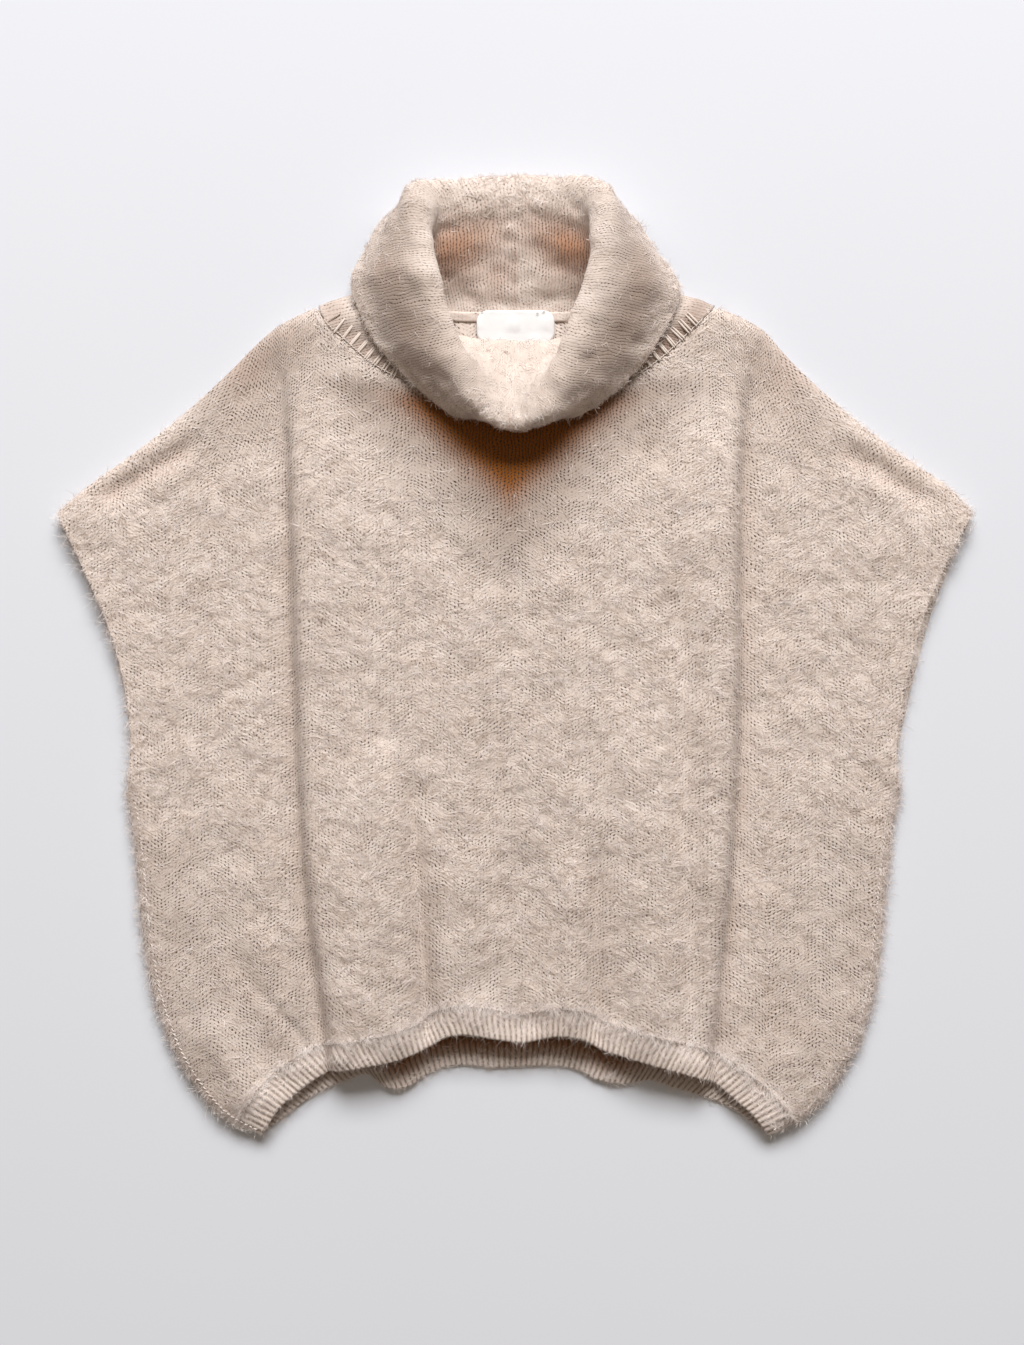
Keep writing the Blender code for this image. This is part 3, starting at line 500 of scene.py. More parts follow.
FRONT_SHADE = (
    # the same columns, for painted shade on the shoulders, the low corners and beside the folds
    (-260.0, 190.0, -150.0, 250.0, 40.0, 0.3, 60.0),
    (260.0, 190.0, 150.0, 250.0, 40.0, 0.2, 60.0),
    (-300.0, -150.0, -220.0, -330.0, 60.0, 0.22, 60.0),
    (300.0, -150.0, 220.0, -330.0, 60.0, 0.2, 60.0),
    (-68.0, -170.0, -64.0, -320.0, 8.0, 0.2, 70.0),
    (64.0, -190.0, 66.0, -320.0, 8.0, 0.16, 60.0),
    (-30.0, -230.0, -26.0, -320.0, 34.0, 0.08, 60.0),
    (-172.0, -120.0, -170.0, -320.0, 10.0, 0.16, 80.0),
)
# Painted warm shade of the collar: in the corners of its inner wall, along its back seam, beside the neck
# seam and on the roll
COLLAR_WARM_SHADE = (
    # share round the neck, share from the seam to the free edge, half width, half height, how much of the
    # painted warm shade
    (0.436, 0.35, 30.0, 30.0, 0.8),
    (0.562, 0.35, 30.0, 28.0, 0.85),
    (0.482, 0.2, 12.0, 22.0, 0.5),
    (0.499, 0.22, 2.4, 44.0, 0.5),
    (0.46, 0.2, 22.0, 14.0, 0.3),
    (0.54, 0.26, 20.0, 16.0, 0.4),
    (0.14, 0.12, 46.0, 14.0, 0.5),
    (0.86, 0.12, 46.0, 14.0, 0.6),
    (0.2, 0.04, 60.0, 12.0, 0.3),
    (0.8, 0.04, 60.0, 12.0, 0.4),
    (0.2, 0.8, 80.0, 30.0, 0.3),
    (0.3, 0.8, 60.0, 34.0, 0.3),
    (0.7, 0.8, 60.0, 34.0, 0.25),
    (0.8, 0.8, 80.0, 30.0, 0.25),
)
COLLAR_SHADE = (
    # the same columns, for painted shade on the sides of the roll, which face away from the light, and on
    # the cloth beside the neck seam
    (0.24, 0.8, 90.0, 26.0, 0.56),
    (0.76, 0.8, 90.0, 26.0, 0.6),
    (0.2, 0.04, 60.0, 14.0, 0.4),
    (0.8, 0.04, 60.0, 14.0, 0.6),
)
BACK_BAND_SHADE = 0.9  # painted warm shade of the back's hem band under the front's hem, away from its edge
BACK_BAND_EDGE = 0.9  # share of the band over which it comes

# Seams
STITCHES = {
    # kind: pitch, length and thickness, slant from the seam's run, how much that varies, finish
    "neck_ladder": (7.6, 15.0, 1.9, math.pi / 2, 0.1, "mohair fibre warm"),
    "neck_chain": (2.4, 3.2, 1.0, 0.3, 0.15, "mohair fibre warm"),
    "side_chain": (4.0, 3.6, 0.9, 0.35, 0.3, "mohair fibre pale"),
    "label_thread": (3.0, 2.6, 0.5, 0.0, 0.2, "sewing thread"),
}
LADDER_Y = (222.0, 268.0)  # between these heights the linking bars of the neck seam show
LADDER_ROW = 3  # row of the collar's grid in which they are centred
LADDER_TWIN = 2.5  # each bar is a pair of yarns this far apart
LADDER_LIFT = 0.5  # how far the middle of a stitch is above the cloth
CHAIN_LIFT = 0.7
SIDE_LIFT = 0.5
SIDE_INSET = 6.0  # how far in from the side seam its chain runs
SIDE_PART = (0.03, 0.96, 120)  # the shares of a side seam where its chain starts and ends, and its points
LABEL_THREAD_X = {LEFT: -29.0, RIGHT: 20.0}  # from the label's middle
LABEL_THREAD = ((-2.5, -2.5, 7.6), (2.5, -1.0, 7.6))  # its two ends: x and y from there and the top, z

# Nap
# Fibre tones and shares: pale is a painted highlight and shaded a painted shade of one fibre colour, each
# spread in random patches
NAP_TONES = (("pale", 0.8), ("warm", 0.7), ("shaded", 0.25))
NAP = {"Steps": 3, "Arch": 0.35, "Spread": 1.1, "Curl": 0.0035, "Curl Scale": 130.0}
NAP_LENGTHS = (0.5, 1.5)  # shortest and longest strand, times the middle length
NAP_TAPER = 0.9  # share of its width that a strand loses towards its tip
NAP_LEAN = (0.8, 26.0)  # how far the nap strays from its lean, in radians, and over what length
NAP_PATCHES = (1.3, 34.0, 51)  # contrast, size and seed of the patches where pale and warm nap is thick
PALE_COVER = 0.25  # how thick pale and warm nap is outside them
SHADED_COVER = 1.35  # how thick shaded nap is outside them
FRONT_LOSS = 3  # power by which the painted warm shade thins the front's nap
COLLAR_LOSS = 2
SHADED_LOSS = 5  # power by which painted shade thins the nap of both
COLLAR_NAP_SHARE = 0.3
COLLAR_NAP_LENGTH = 0.75  # times the front's
COLLAR_NAP_LEAST = 0.08  # how thick it is outside the turned-over part
COLLAR_NAP_START = (0.68, 0.16)  # share of the collar's depth past which its nap is long, and over how much
COLLAR_BACK_START = (0.4, 0.1)  # the same at the middle of the back
COLLAR_BACK_NAP = (0.5, 0.1)  # how thick it is there, and its half width as a share of the way round
COLLAR_CURL = (3.0, 22.0, 71)  # how far the nap of the collar turns, over what length, and the seed
HEM_NAP = (
    # band, its hem's line, share of the strands, how thick the nap is at the edge and at the joint
    ("front_hem_ribbing", "front", 0.16, 0.12, 1.0),
    ("back_hem_ribbing", "back", 0.05, 1.0, 0.0),
)
HEM_LEAN = (0.7, 30.0)  # as NAP_LEAN, from straight down
HEM_NAP_SIZE = {"length": 0.7, "width": 0.8}  # times the front's
HEM_FRINGE = 8.0  # the nap that hangs over the top of the front band grows this far up the panel
HEM_FRINGE_SHARE = 0.07
STRAYS = (
    # piece, strands, how far in from the edge they thin out
    ("front_knit", 4200, 3.0),
    ("back_knit", 1500, 3.0),
    ("back_hem_ribbing", 450, 4.0),
)
STRAY = {"Length": 0.0105, "Width": 0.00022, "Spread": 3.1, "Arch": 0.9, "Steps": 7, "Curl": 0.006}
LOWEST = (-9.0, -9.0, 0.0002)  # no fibre goes below this corner, which is only a floor

# Seeds of where each nap grows, which are added to the panel's, and of which way it lies
COLLAR_SEED = 10
HEM_SEED = 20
FRINGE_SEED = 25
STRAY_SEED = 30
LENGTH_SEED = 5
LAY_SEED = 60
HEM_LAY_SEED = 81
STRAY_LAY_SEED = 90

# Stage: places and sizes in metres, lens and sensor in millimetres
FLOOR_SIZE = 6.0
KEY_PLACE = (0.2, 4.8, 3.8)
KEY_TARGET = (0.0, 0.1, 0.0)
KEY_SIZE = (4.2, 2.4)
KEY_COLOUR = (0.985, 0.99, 1.0)
FILL_COLOUR = (1.0, 0.86, 0.72)
CAMERA_PLACE = (-0.0024, -0.0129, 1.494)
CAMERA_LENS = 49.985
CAMERA_SENSOR = 36.0
CAMERA_REACH = 10.0  # past which nothing is drawn


# Curves ------------------------------------------------------------------------------------------


def smooth(points):
    """A dense centripetal Catmull-Rom curve through the points, which never loops between them."""
    points = np.asarray(points, float)
    points = np.vstack([2 * points[0] - points[1], points, 2 * points[-1] - points[-2]])
    pieces = []
    for p0, p1, p2, p3 in zip(points, points[1:], points[2:], points[3:]):
        t1 = np.sqrt(np.linalg.norm(p1 - p0))
        t2 = t1 + np.sqrt(np.linalg.norm(p2 - p1))
        t3 = t2 + np.sqrt(np.linalg.norm(p3 - p2))
        t = np.linspace(t1, t2, SMOOTH_STEPS, endpoint=False)[:, None]
        a1 = (t1 - t) / t1 * p0 + t / t1 * p1
        a2 = (t2 - t) / (t2 - t1) * p1 + (t - t1) / (t2 - t1) * p2
        a3 = (t3 - t) / (t3 - t2) * p2 + (t - t2) / (t3 - t2) * p3
        b1 = (t2 - t) / t2 * a1 + t / t2 * a2
        b2 = (t3 - t) / (t3 - t1) * a2 + (t - t1) / (t3 - t1) * a3
        pieces.append((t2 - t) / (t2 - t1) * b1 + (t - t1) / (t2 - t1) * b2)
    pieces.append(points[-2][None, :])
    return np.vstack(pieces)


def steps_of(curve):
    return np.linalg.norm(np.diff(curve, axis=0), axis=1)


def shares_of(curve):
    """How far along its length each point of a curve lies, from 0 to 1."""
    steps = steps_of(curve)
    return np.concatenate([[0.0], np.cumsum(steps)]) / steps.sum()


def along(curve, shares, carried=None):
    """Points of a dense curve, or other values carried by them, at the given shares of its length."""
    known = shares_of(curve)
    values = curve if carried is None else carried
    return np.stack([np.interp(shares, known, values[:, k]) for k in range(values.shape[1])], axis=-1)


def joined(*curves):
    return np.vstack([curves[0]] + [curve[1:] for curve in curves[1:]])


def side_points(table, side):
    """The points of an outline table on one side, x first."""
    return [(row[side], row[0]) for row in table]


def smoothstep(value):
    value = np.clip(value, 0.0, 1.0)
    return value * value * (3.0 - 2.0 * value)


def distance_to(curves, x, y):
    """Distance of plan points from the nearest of some plan curves."""
    flat = np.stack([x.ravel(), y.ravel()], axis=-1)[:, None, :]
    nearest = np.full(x.size, np.inf)
    for curve in curves:
        start = curve[:-1]
        step = curve[1:] - start
        share = ((flat - start) * step).sum(-1) / (step * step).sum(-1)
        foot = start + np.clip(share, 0.0, 1.0)[..., None] * step
        nearest = np.minimum(nearest, np.linalg.norm(flat - foot, axis=-1).min(-1))
    return nearest.reshape(x.shape)


def waves(points, wavelength, seed):
    """A smooth random field of about unit height: the sum of plane waves in random directions."""
    draw = np.random.default_rng(seed)
    size = points.shape[-1]
    total = np.zeros(points.shape[:-1])
    for _ in range(WAVES):
        way = draw.normal(size=size)
        way *= draw.uniform(*WAVE_RANGE) * 2 * math.pi / wavelength / np.linalg.norm(way)
        total += np.cos(points @ way + draw.uniform(0, 2 * math.pi))
    return total * math.sqrt(2.0 / WAVES)


def unevenness(fields, points):
    """Some fields of waves added together, each given by its height, wavelength and seed."""
    return sum(height * waves(points, wavelength, seed) for height, wavelength, seed in fields)


# Outlines of the panels --------------------------------------------------------------------------

SHOULDERS = {side: smooth(side_points(SHOULDER, side)) for side in SIDES}
SIDE_SEAMS = {side: smooth(side_points(SIDE_SEAM, side)) for side in SIDES}
ARMHOLES = {side: smooth(side_points(ARMHOLE, side)) for side in SIDES}
NECK_FRONT = smooth(FRONT_NECK)
NECK_BACK = smooth(BACK_NECK)
HEM_FRONT = smooth(FRONT_HEM)
HEM_BACK = smooth(BACK_HEM)
CREASE_TOP = SHOULDER_CREASE_ROW * SMOOTH_STEPS
CREASE_FEET = tuple(row * SMOOTH_STEPS for row in FRONT_CREASE_ROWS)


def side_edge(side, inset):
    """Armhole and side seam from the tip to the hem's corner. inset 1 gives the front's own armhole."""
    armhole = [(row[side] + INWARD[side] * inset * row[side + 2], row[0]) for row in ARMHOLE]
    return joined(smooth(armhole), SIDE_SEAMS[side])


def crease(side):
    """A long crease in plan, from the shoulder down to the hem."""
    top = SHOULDERS[side][CREASE_TOP]
    foot = HEM_FRONT[CREASE_FEET[side - 1]]
    return smooth([tuple(top)] + side_points(CREASES, side) + [tuple(foot)])


CREASE = {side: crease(side) for side in SIDES}


def coons(top, bottom, left, right):
    """A plan grid [row, column, xy] between an upper and a lower row and two dense side curves."""
    u = 0.5 * (shares_of(top) + shares_of(bottom))[None, :, None]
    v = np.linspace(0.0, 1.0, COLUMN_STEPS + 1)
    left = along(left, v)[:, None]
    right = along(right, v)[:, None]
    v = v[:, None, None]
    ruled = (1 - v) * top + v * bottom + (1 - u) * left + u * right
    corners = (1 - u) * ((1 - v) * top[0] + v * bottom[0]) + u * ((1 - v) * top[-1] + v * bottom[-1])
    return ruled - corners


def rimmed(steps):
    """Shares from 0 to 1 that start with the close ones of a rounded edge."""
    return np.concatenate([RIM_SHARES, np.linspace(RIM_SHARES[-1], 1.0, steps + 1)[1:]])


def front_plan():
    """The front in plan: dense columns of the left part, the middle part and the right part."""
    sides = rimmed(SIDE_STEPS)
    left = coons(
        along(SHOULDERS[LEFT][: CREASE_TOP + 1], sides),
        along(HEM_FRONT[: CREASE_FEET[0] + 1], sides),
        side_edge(LEFT, 1),
        CREASE[LEFT],
    )
    right = coons(
        along(SHOULDERS[RIGHT][: CREASE_TOP + 1][::-1], 1.0 - sides[::-1]),
        along(HEM_FRONT[CREASE_FEET[1] :], 1.0 - sides[::-1]),
        CREASE[RIGHT],
        side_edge(RIGHT, 1),
    )
    neck_edge = joined(SHOULDERS[LEFT][CREASE_TOP:], NECK_FRONT, SHOULDERS[RIGHT][CREASE_TOP:][::-1])
    even = np.linspace(0.0, 1.0, MIDDLE_STEPS + 1)
    hem = along(HEM_FRONT[CREASE_FEET[0] : CREASE_FEET[1] + 1], even)
    middle = coons(along(neck_edge, even), hem, CREASE[LEFT], CREASE[RIGHT])
    return np.concatenate([left, middle[:, 1:], right[:, 1:]], axis=1)


def back_plan():
    """The back in plan, with close columns at both edges."""
    top = joined(SHOULDERS[LEFT], NECK_BACK, SHOULDERS[RIGHT][::-1])
    spare = len(RIM_SHARES) - 1
    inner = np.linspace(RIM_SHARES[-1], 1.0 - RIM_SHARES[-1], len(HEM_BACK[::BACK_COLUMNS_STEP]))
    shares = np.concatenate([RIM_SHARES[:spare], inner, 1.0 - np.array(RIM_SHARES[:spare])[::-1]])
    return coons(along(top, shares), along(HEM_BACK, shares), side_edge(LEFT, 0), side_edge(RIGHT, 0))


def panel_and_band(plan, panel_steps):
    """Cuts each column of a plan grid into the panel's rows and, on from there, the hem band's."""
    panel_rows = rimmed(panel_steps)
    rim = 1.0 - np.array(RIM_SHARES[:0:-1] + RIM_SHARES[:1]) * BAND_RIM
    band_rows = np.concatenate([np.linspace(0.0, rim[0], BAND_ROWS)[:-1], rim])
    panel, band = [], []
    for line in plan.transpose(1, 0, 2):
        turn = 1.0 - BAND_WIDTH / steps_of(line).sum()
        panel.append(along(line, panel_rows * turn))
        band.append(along(line, turn + band_rows * (1.0 - turn)))
    return np.stack(panel, axis=1), np.stack(band, axis=1)


# Heights -----------------------------------------------------------------------------------------


def crease_x(side, y):
    line = CREASE[side][::-1]
    return np.interp(y, line[:, 1], line[:, 0])


def fold_heights(folds, x, y):
    """Ridges and troughs laid along short lines, added together."""
    total = np.zeros_like(x)
    for x0, y0, x1, y1, half_width, rise, fade in folds:
        run = np.array([x1 - x0, y1 - y0])
        length = np.linalg.norm(run)
        run = run / length
        ahead = (x - x0) * run[0] + (y - y0) * run[1]
        aside = (x - x0) * run[1] - (y - y0) * run[0]
        ends = smoothstep(ahead / fade + 0.5) * smoothstep((length - ahead) / fade + 0.5)
        total += rise * ends * np.exp(-((aside / half_width) ** 2))
    return total


def front_height(x, y):
    """Height of the middle of the front's wall over a plan point."""
    from_left = x - crease_x(LEFT, y)
    from_right = crease_x(RIGHT, y) - x
    inside = smoothstep(from_left / STEP_WIDTH) * smoothstep(from_right / STEP_WIDTH)
    top_y, full_y, hem_y = RISE_FADE
    grown = smoothstep((top_y - y) / (top_y - full_y))
    middle = CENTRE_RISE * (SHOULDER_SHARE + (1.0 - SHOULDER_SHARE) * grown)
    middle = middle - HEM_DROP * smoothstep((hem_y - y) / HEM_FADE)
    sink, reach = NECK_SINK
    middle = middle - sink * grown * (1.0 - smoothstep(distance_to([NECK_FRONT], x, y) / reach))
    valley = np.exp(-((from_left / CREASE_WIDTH) ** 2)) + np.exp(-((from_right / CREASE_WIDTH) ** 2))
    rise = FLAP_RISE + inside * middle - CREASE_DEPTH * grown * valley + fold_heights(FOLDS, x, y)
    closed_edges = [*SHOULDERS.values(), *SIDE_SEAMS.values()]
    near = np.clip(distance_to(closed_edges, x, y) / FOLD_ROUND, 0.0, 1.0)
    return FOLD_EDGE_Z + rise * np.sqrt(1.0 - (1.0 - near) ** 2)


def front_unrest(x, y):
    """Small creases and the slow unevenness that brushed cloth has when it lies free."""
    return unevenness(PANEL_UNREST, np.stack([x, y], axis=-1)) - fold_heights(CREASE_MARKS, x, y)


def back_fold_heights(x, y):
    """Rise of the places where the back hem is folded on itself."""
    total = np.zeros_like(x)
    for centre, half_width, rise in BACK_HEM_FOLDS:
        fade = smoothstep((BACK_FOLD_TOP - y) / BACK_FOLD_REACH)
        total += rise * fade * np.exp(-(((x - centre) / half_width) ** 2))
    return total


def freedom(x, y, neck, hem):
    """How free a panel is at each plan point: 0 at its seams and closed edges, 1 away from them."""
    edges = [*SHOULDERS.values(), *SIDE_SEAMS.values(), neck, hem]
    return smoothstep(distance_to(edges, x, y) / FREE_FROM)


# Painted shade ------------------------------------------------------------------------------------


def beside_creases(reach, amount, x, y):
    """A value that is greatest on the two long creases and fades to each side of them."""
    return amount * np.exp(-((distance_to([*CREASE.values()], x, y) / reach) ** 2))


def below_collar(x, y):
    """Place in the V of painted shadow below the collar: 0 at the middle of its upper side, 1 where it ends.
    """
    middle, top, half_width, depth = NECK_SHADOW
    return np.abs(x - middle) / half_width + (top - y) / depth


def front_warm_shade(x, y):
    """How much warm painted shade the front has, most of all in the V of painted shadow below the collar."""
    worn = smoothstep((1.0 - below_collar(x, y)) / NECK_SHADOW_FADE)
    worn = worn * smoothstep((NECK_SHADOW_TOP - y) / NECK_TOP_FADE)
    worn = np.maximum(worn, fold_heights(FRONT_WARM_SHADE, x, y))
    return np.maximum(worn, beside_creases(*CREASE_WARM_SHADE, x, y))


def front_shade(x, y):
    """How much painted shade the front has: patches, the two long creases and the rim of the painted shadow
    V.
    """
    shade = np.maximum(fold_heights(FRONT_SHADE, x, y), beside_creases(*CREASE_SHADE, x, y))
    rim, inward, outward, amount = NECK_SHADE
    apart = below_collar(x, y) - rim
    apart = apart / np.where(apart < 0.0, inward, outward)
    shadow_rim = amount * np.exp(-(apart**2)) * smoothstep((NECK_SHADE_TOP - y) / NECK_TOP_FADE)
    return np.maximum(shade, shadow_rim)


# Walls -------------------------------------------------------------------------------------------


def with_height(plan, height):
    return np.concatenate([plan, height[..., None]], axis=-1)


def lengths_along(grid, axis=0):
    """How far each point of a grid is from the grid's first row, or first column, along the cloth."""
    steps = np.diff(grid, axis=axis, prepend=grid.take([0], axis=axis))
    return np.cumsum(np.linalg.norm(steps, axis=-1), axis=axis)


def normals_of(middle, wrap=False):
    """Unit normals of a grid [row, column, xyz], from the steps along its rows and columns."""
    down = np.gradient(middle, axis=0)
    if wrap:
        across = 0.5 * (np.roll(middle, -1, axis=1) - np.roll(middle, 1, axis=1))
    else:
        across = np.gradient(middle, axis=1)
    normal = np.cross(down, across)
    return normal / np.linalg.norm(normal, axis=-1, keepdims=True)


def rim_share(middle, wrap=False, rows=(True, True)):
    """How much of the wall is there at each grid point, less near the rounded edges."""
    down = lengths_along(middle)
    nearest = np.full(down.shape, np.inf)
    if rows[0]:
        nearest = np.minimum(nearest, down)
    if rows[1]:
        nearest = np.minimum(nearest, down[-1:] - down)
    if not wrap:
        across = lengths_along(middle, axis=1)
        nearest = np.minimum(nearest, np.minimum(across, across[:, -1:] - across))
    inward = np.clip(nearest / RIM_ROUND, 0.0, 1.0)
    return (RIM_LEFT + (1.0 - RIM_LEFT) * np.sqrt(1.0 - (1.0 - inward) ** 2))[..., None]


def knit_map(grid):
    """Each grid point's place across the stitch columns and along them: upright, but fanned at the top."""
    x, y = grid[..., 0], grid[..., 1]
    from_middle, from_hem = FAN_START
    fan = smoothstep((np.abs(x) - from_middle) / FAN_WIDTH) * np.maximum(0.0, y - from_hem)
    return np.stack([x + np.sign(x) * FAN * fan, y], axis=-1)


def in_scene(points):
    """Points of the tables in the scene's metres."""
    return (np.asarray(points) - (0.0, ORIGIN_Y, 0.0)) * MM


def link(name, data):
    """A new object in the scene with its data."""
    item = bpy.data.objects.new(name, data)
    bpy.context.scene.collection.objects.link(item)
    return item


def new_shell(name, points, faces, material):
    """A mesh object from points in the tables' millimetres, shaded smooth."""
    mesh = bpy.data.meshes.new(name)
    mesh.from_pydata(in_scene(points).tolist(), [], faces)
    mesh.materials.append(material)
    mesh.shade_smooth()
    return link(name, mesh)


def mark(mesh, name, values):
    """Gives a mesh a named value at each of its points."""
    layer = mesh.attributes.new(name, "FLOAT", "POINT")
    layer.data.foreach_set("value", np.asarray(values, np.float32).ravel())


def mark_shell(item, name, values):
    """Gives a shell a named value at each point of its grid, the same on its outer and inner side."""
    mark(item.data, name, np.concatenate([values.ravel()] * 2))


def wall_faces(rows, columns, count, wrap):
    """Quads of a closed shell: its outer side, its inner side count points on, and its rims."""
    at = np.arange(rows * columns).reshape(rows, columns)
    quads = np.stack([at[:-1, :-1], at[1:, :-1], at[1:, 1:], at[:-1, 1:]], axis=-1).reshape(-1, 4)
    under = at + count
    rims = [
        np.stack([at[0, :-1], at[0, 1:], under[0, 1:], under[0, :-1]], axis=-1),
        np.stack([under[-1, :-1], under[-1, 1:], at[-1, 1:], at[-1, :-1]], axis=-1),
    ]
    if not wrap:
        rims.append(np.stack([at[:-1, 0], under[:-1, 0], under[1:, 0], at[1:, 0]], axis=-1))
        rims.append(np.stack([at[1:, -1], under[1:, -1], under[:-1, -1], at[:-1, -1]], axis=-1))
    return np.concatenate([quads, quads[:, ::-1] + count, *rims])


def sharpen(mesh, points):
    """Keeps the edges between some of a mesh's points from being shaded round."""
    ends = np.empty(2 * len(mesh.edges), np.int32)
    mesh.edges.foreach_get("vertices", ends)
    layer = mesh.attributes.new("sharp_edge", "BOOLEAN", "EDGE")
    layer.data.foreach_set("value", np.isin(ends.reshape(-1, 2), points).all(axis=1))


def add_wall(name, upper, lower, knit, material, wrap=False, joint=None):
    """A closed shell between two like grids, with the knit map as its UV map.

    Where the columns wrap round, the knit map has one column more than the grids. joint is the row
    where the cloth goes on in another shell.
    """
    rows, columns = upper.shape[:2]
    faces = wall_faces(rows, columns + wrap, rows * (columns + wrap), wrap)
    uv = np.concatenate([knit.reshape(-1, 2)] * 2)[faces.ravel()] * MM
    if wrap:
        side, place = np.divmod(faces, rows * (columns + 1))
        row, column = np.divmod(place, columns + 1)
        faces = side * rows * columns + row * columns + column % columns
    points = np.concatenate([upper.reshape(-1, 3), lower.reshape(-1, 3)])
    item = new_shell(name, points, faces.tolist(), material)
    layer = item.data.uv_layers.new(name=KNIT_MAP)
    layer.uv.foreach_set("vector", uv.ravel().astype(np.float32))
    if joint is not None:
        at = np.arange(rows * columns).reshape(rows, columns)[joint]
        sharpen(item.data, np.concatenate([at, at + rows * columns]))
    return item


def ribbed(rows, carried):
    """Resamples a band's rows, and what they carry, finely across its ribs.

    Also gives the wall at each point, and how far up its rib the point is.
    """
    count = round(steps_of(rows[len(rows) // 2]).sum() / RIB_PITCH)
    places = np.arange(count * RIB_POINTS + 1) / RIB_POINTS
    uneven = 1.0 + RIB_UNEVEN * np.random.default_rng(RIB_SEED).normal(size=count + 1)
    round_top = np.abs(np.sin(math.pi * places))
    relief = RIB_RELIEF * round_top * uneven[places.astype(int)]
    shares = places / count
    points = np.stack([along(row, shares) for row in rows])
    values = np.stack([along(row, shares, value) for row, value in zip(rows, carried)])
    grown_out = smoothstep(lengths_along(points) / BAND_START)[..., None]
    wall = PANEL_WALL + grown_out * (RIB_WALL + relief[None, :, None] - PANEL_WALL)
    return points, values, wall, grown_out * round_top[None, :, None]


# Cloth shells ------------------------------------------------------------------------------------


def front_grid():
    """The middle of the front's wall with its hem band, its normals, and the band's first row."""
    panel, band = panel_and_band(front_plan(), FRONT_ROWS)
    plan = np.concatenate([panel, band])
    x, y = plan[..., 0], plan[..., 1]
    height = front_height(x, y) + freedom(x, y, NECK_FRONT, HEM_FRONT) * front_unrest(x, y)
    middle = with_height(plan, height)
    normal = normals_of(middle)
    seam_row = len(panel)
    normal[seam_row] = normal[seam_row - 1]
    return middle, normal, seam_row


def build_front(knit, rib):
    """The front panel and its hem band, each in its own material."""
    middle, normal, seam_row = front_grid()
    panel = middle[:seam_row]
    wall = PANEL_WALL / 2 * rim_share(panel, rows=(True, False))
    upper = panel + normal[:seam_row] * wall
    lower = panel - normal[:seam_row] * wall
    lower[..., 2] = np.maximum(lower[..., 2], PANEL_WALL + GAP)
    upper[..., 2] = np.maximum(upper[..., 2], lower[..., 2] + PANEL_WALL * RIM_LEFT)
    front = add_wall("front_knit", upper, lower, knit_map(panel), knit, joint=-1)
    # painted warm shade and painted shade of the front, which also thin its nap
    mark_shell(front, WARM_SHADE, front_warm_shade(panel[..., 0], panel[..., 1]))
    mark_shell(front, SHADED, front_shade(panel[..., 0], panel[..., 1]))

    lower = middle[seam_row:] - normal[seam_row:] * PANEL_WALL / 2
    inside, normal, wall, ridge = ribbed(lower, normal[seam_row:])
    inside[..., 2] = np.maximum(inside[..., 2], RIB_WALL + RIB_RELIEF + GAP)
    outside = inside + normal * wall * rim_share(inside, rows=(False, True))
    band = add_wall("front_hem_ribbing", outside, inside, knit_map(inside), rib, joint=0)
    mark_shell(band, RIDGES, ridge)
    return front, band


def build_back(knit, rib):
    """The back panel and its hem band, each in its own material."""
    panel, band = panel_and_band(back_plan(), BACK_ROWS)
    x, y = panel[..., 0], panel[..., 1]
    rise = back_fold_heights(x, y)
    share = rim_share(with_height(panel, rise), rows=(True, False))[..., 0]
    dents = np.maximum(0.0, fold_heights(UNDER_MARKS, x, y)) * freedom(x, y, NECK_BACK, HEM_BACK)
    spare = PANEL_WALL / 2 * (1.0 - share)
    upper = with_height(panel, PANEL_WALL + rise - spare)
    lower = with_height(panel, spare + dents)
    back = add_wall("back_knit", upper, lower, knit_map(upper), knit, joint=-1)

    rise = back_fold_heights(band[..., 0], band[..., 1])[..., None] * UP
    lower, rise, wall, ridge = ribbed(with_height(band, 0.0 * band[..., 0]), rise)
    upper = lower + rise + wall * rim_share(lower, rows=(False, True)) * UP
    band = add_wall("back_hem_ribbing", upper, lower, knit_map(lower), rib, joint=0)
    mark_shell(band, RIDGES, ridge)
    # painted warm shade under the front's hem, most away from the band's edge
    covered = distance_to([HEM_BACK], lower[..., 0], lower[..., 1]) / BAND_WIDTH
    mark_shell(band, WARM_SHADE, BACK_BAND_SHADE * smoothstep(covered / BACK_BAND_EDGE))
    return back, band


def neck_ring():
    """The neck seam from the middle of the front, over the left shoulder end, round to the start.

    Returns each column's point on the collar's side of the seam, its outward direction there and its
    share of the seam's length.
    """
    front = along(NECK_FRONT, np.linspace(0.0, 1.0, NECK_COLUMNS + 1))
    back = along(NECK_BACK, np.linspace(0.0, 1.0, BACK_NECK_COLUMNS + 1))
    half = NECK_COLUMNS // 2
    plan = np.vstack([front[half:0:-1], back, front[-2:half:-1]])
    height = front_height(plan[:, 0], plan[:, 1])
    outward = np.tile(UP, (len(plan), 1))
    first, last = half, half + BACK_NECK_COLUMNS
    height[first : last + 1] = COLLAR_WALL / 2
    outward[first + 1 : last] = (0.0, 0.0, -1.0)
    height[[first, last]] = SHOULDER_END_Z
    outward[first] = (-1.0, 0.0, 0.0)
    outward[last] = (1.0, 0.0, 0.0)
    run = np.roll(plan, -1, axis=0) - np.roll(plan, 1, axis=0)
    run /= np.linalg.norm(run, axis=1, keepdims=True)
    into = np.stack([run[:, 1], -run[:, 0]], axis=1)
    into[first + 1 : last] = (0.0, 1.0)
    into[first] = (SHOULDER_END_GAP, SHOULDER_END_GAP)
    into[last] = (-SHOULDER_END_GAP, SHOULDER_END_GAP)
    ring = np.vstack([plan, plan[:1]])
    shares = shares_of(ring)[:-1]
    return with_height(plan + into * GAP, height), outward, shares


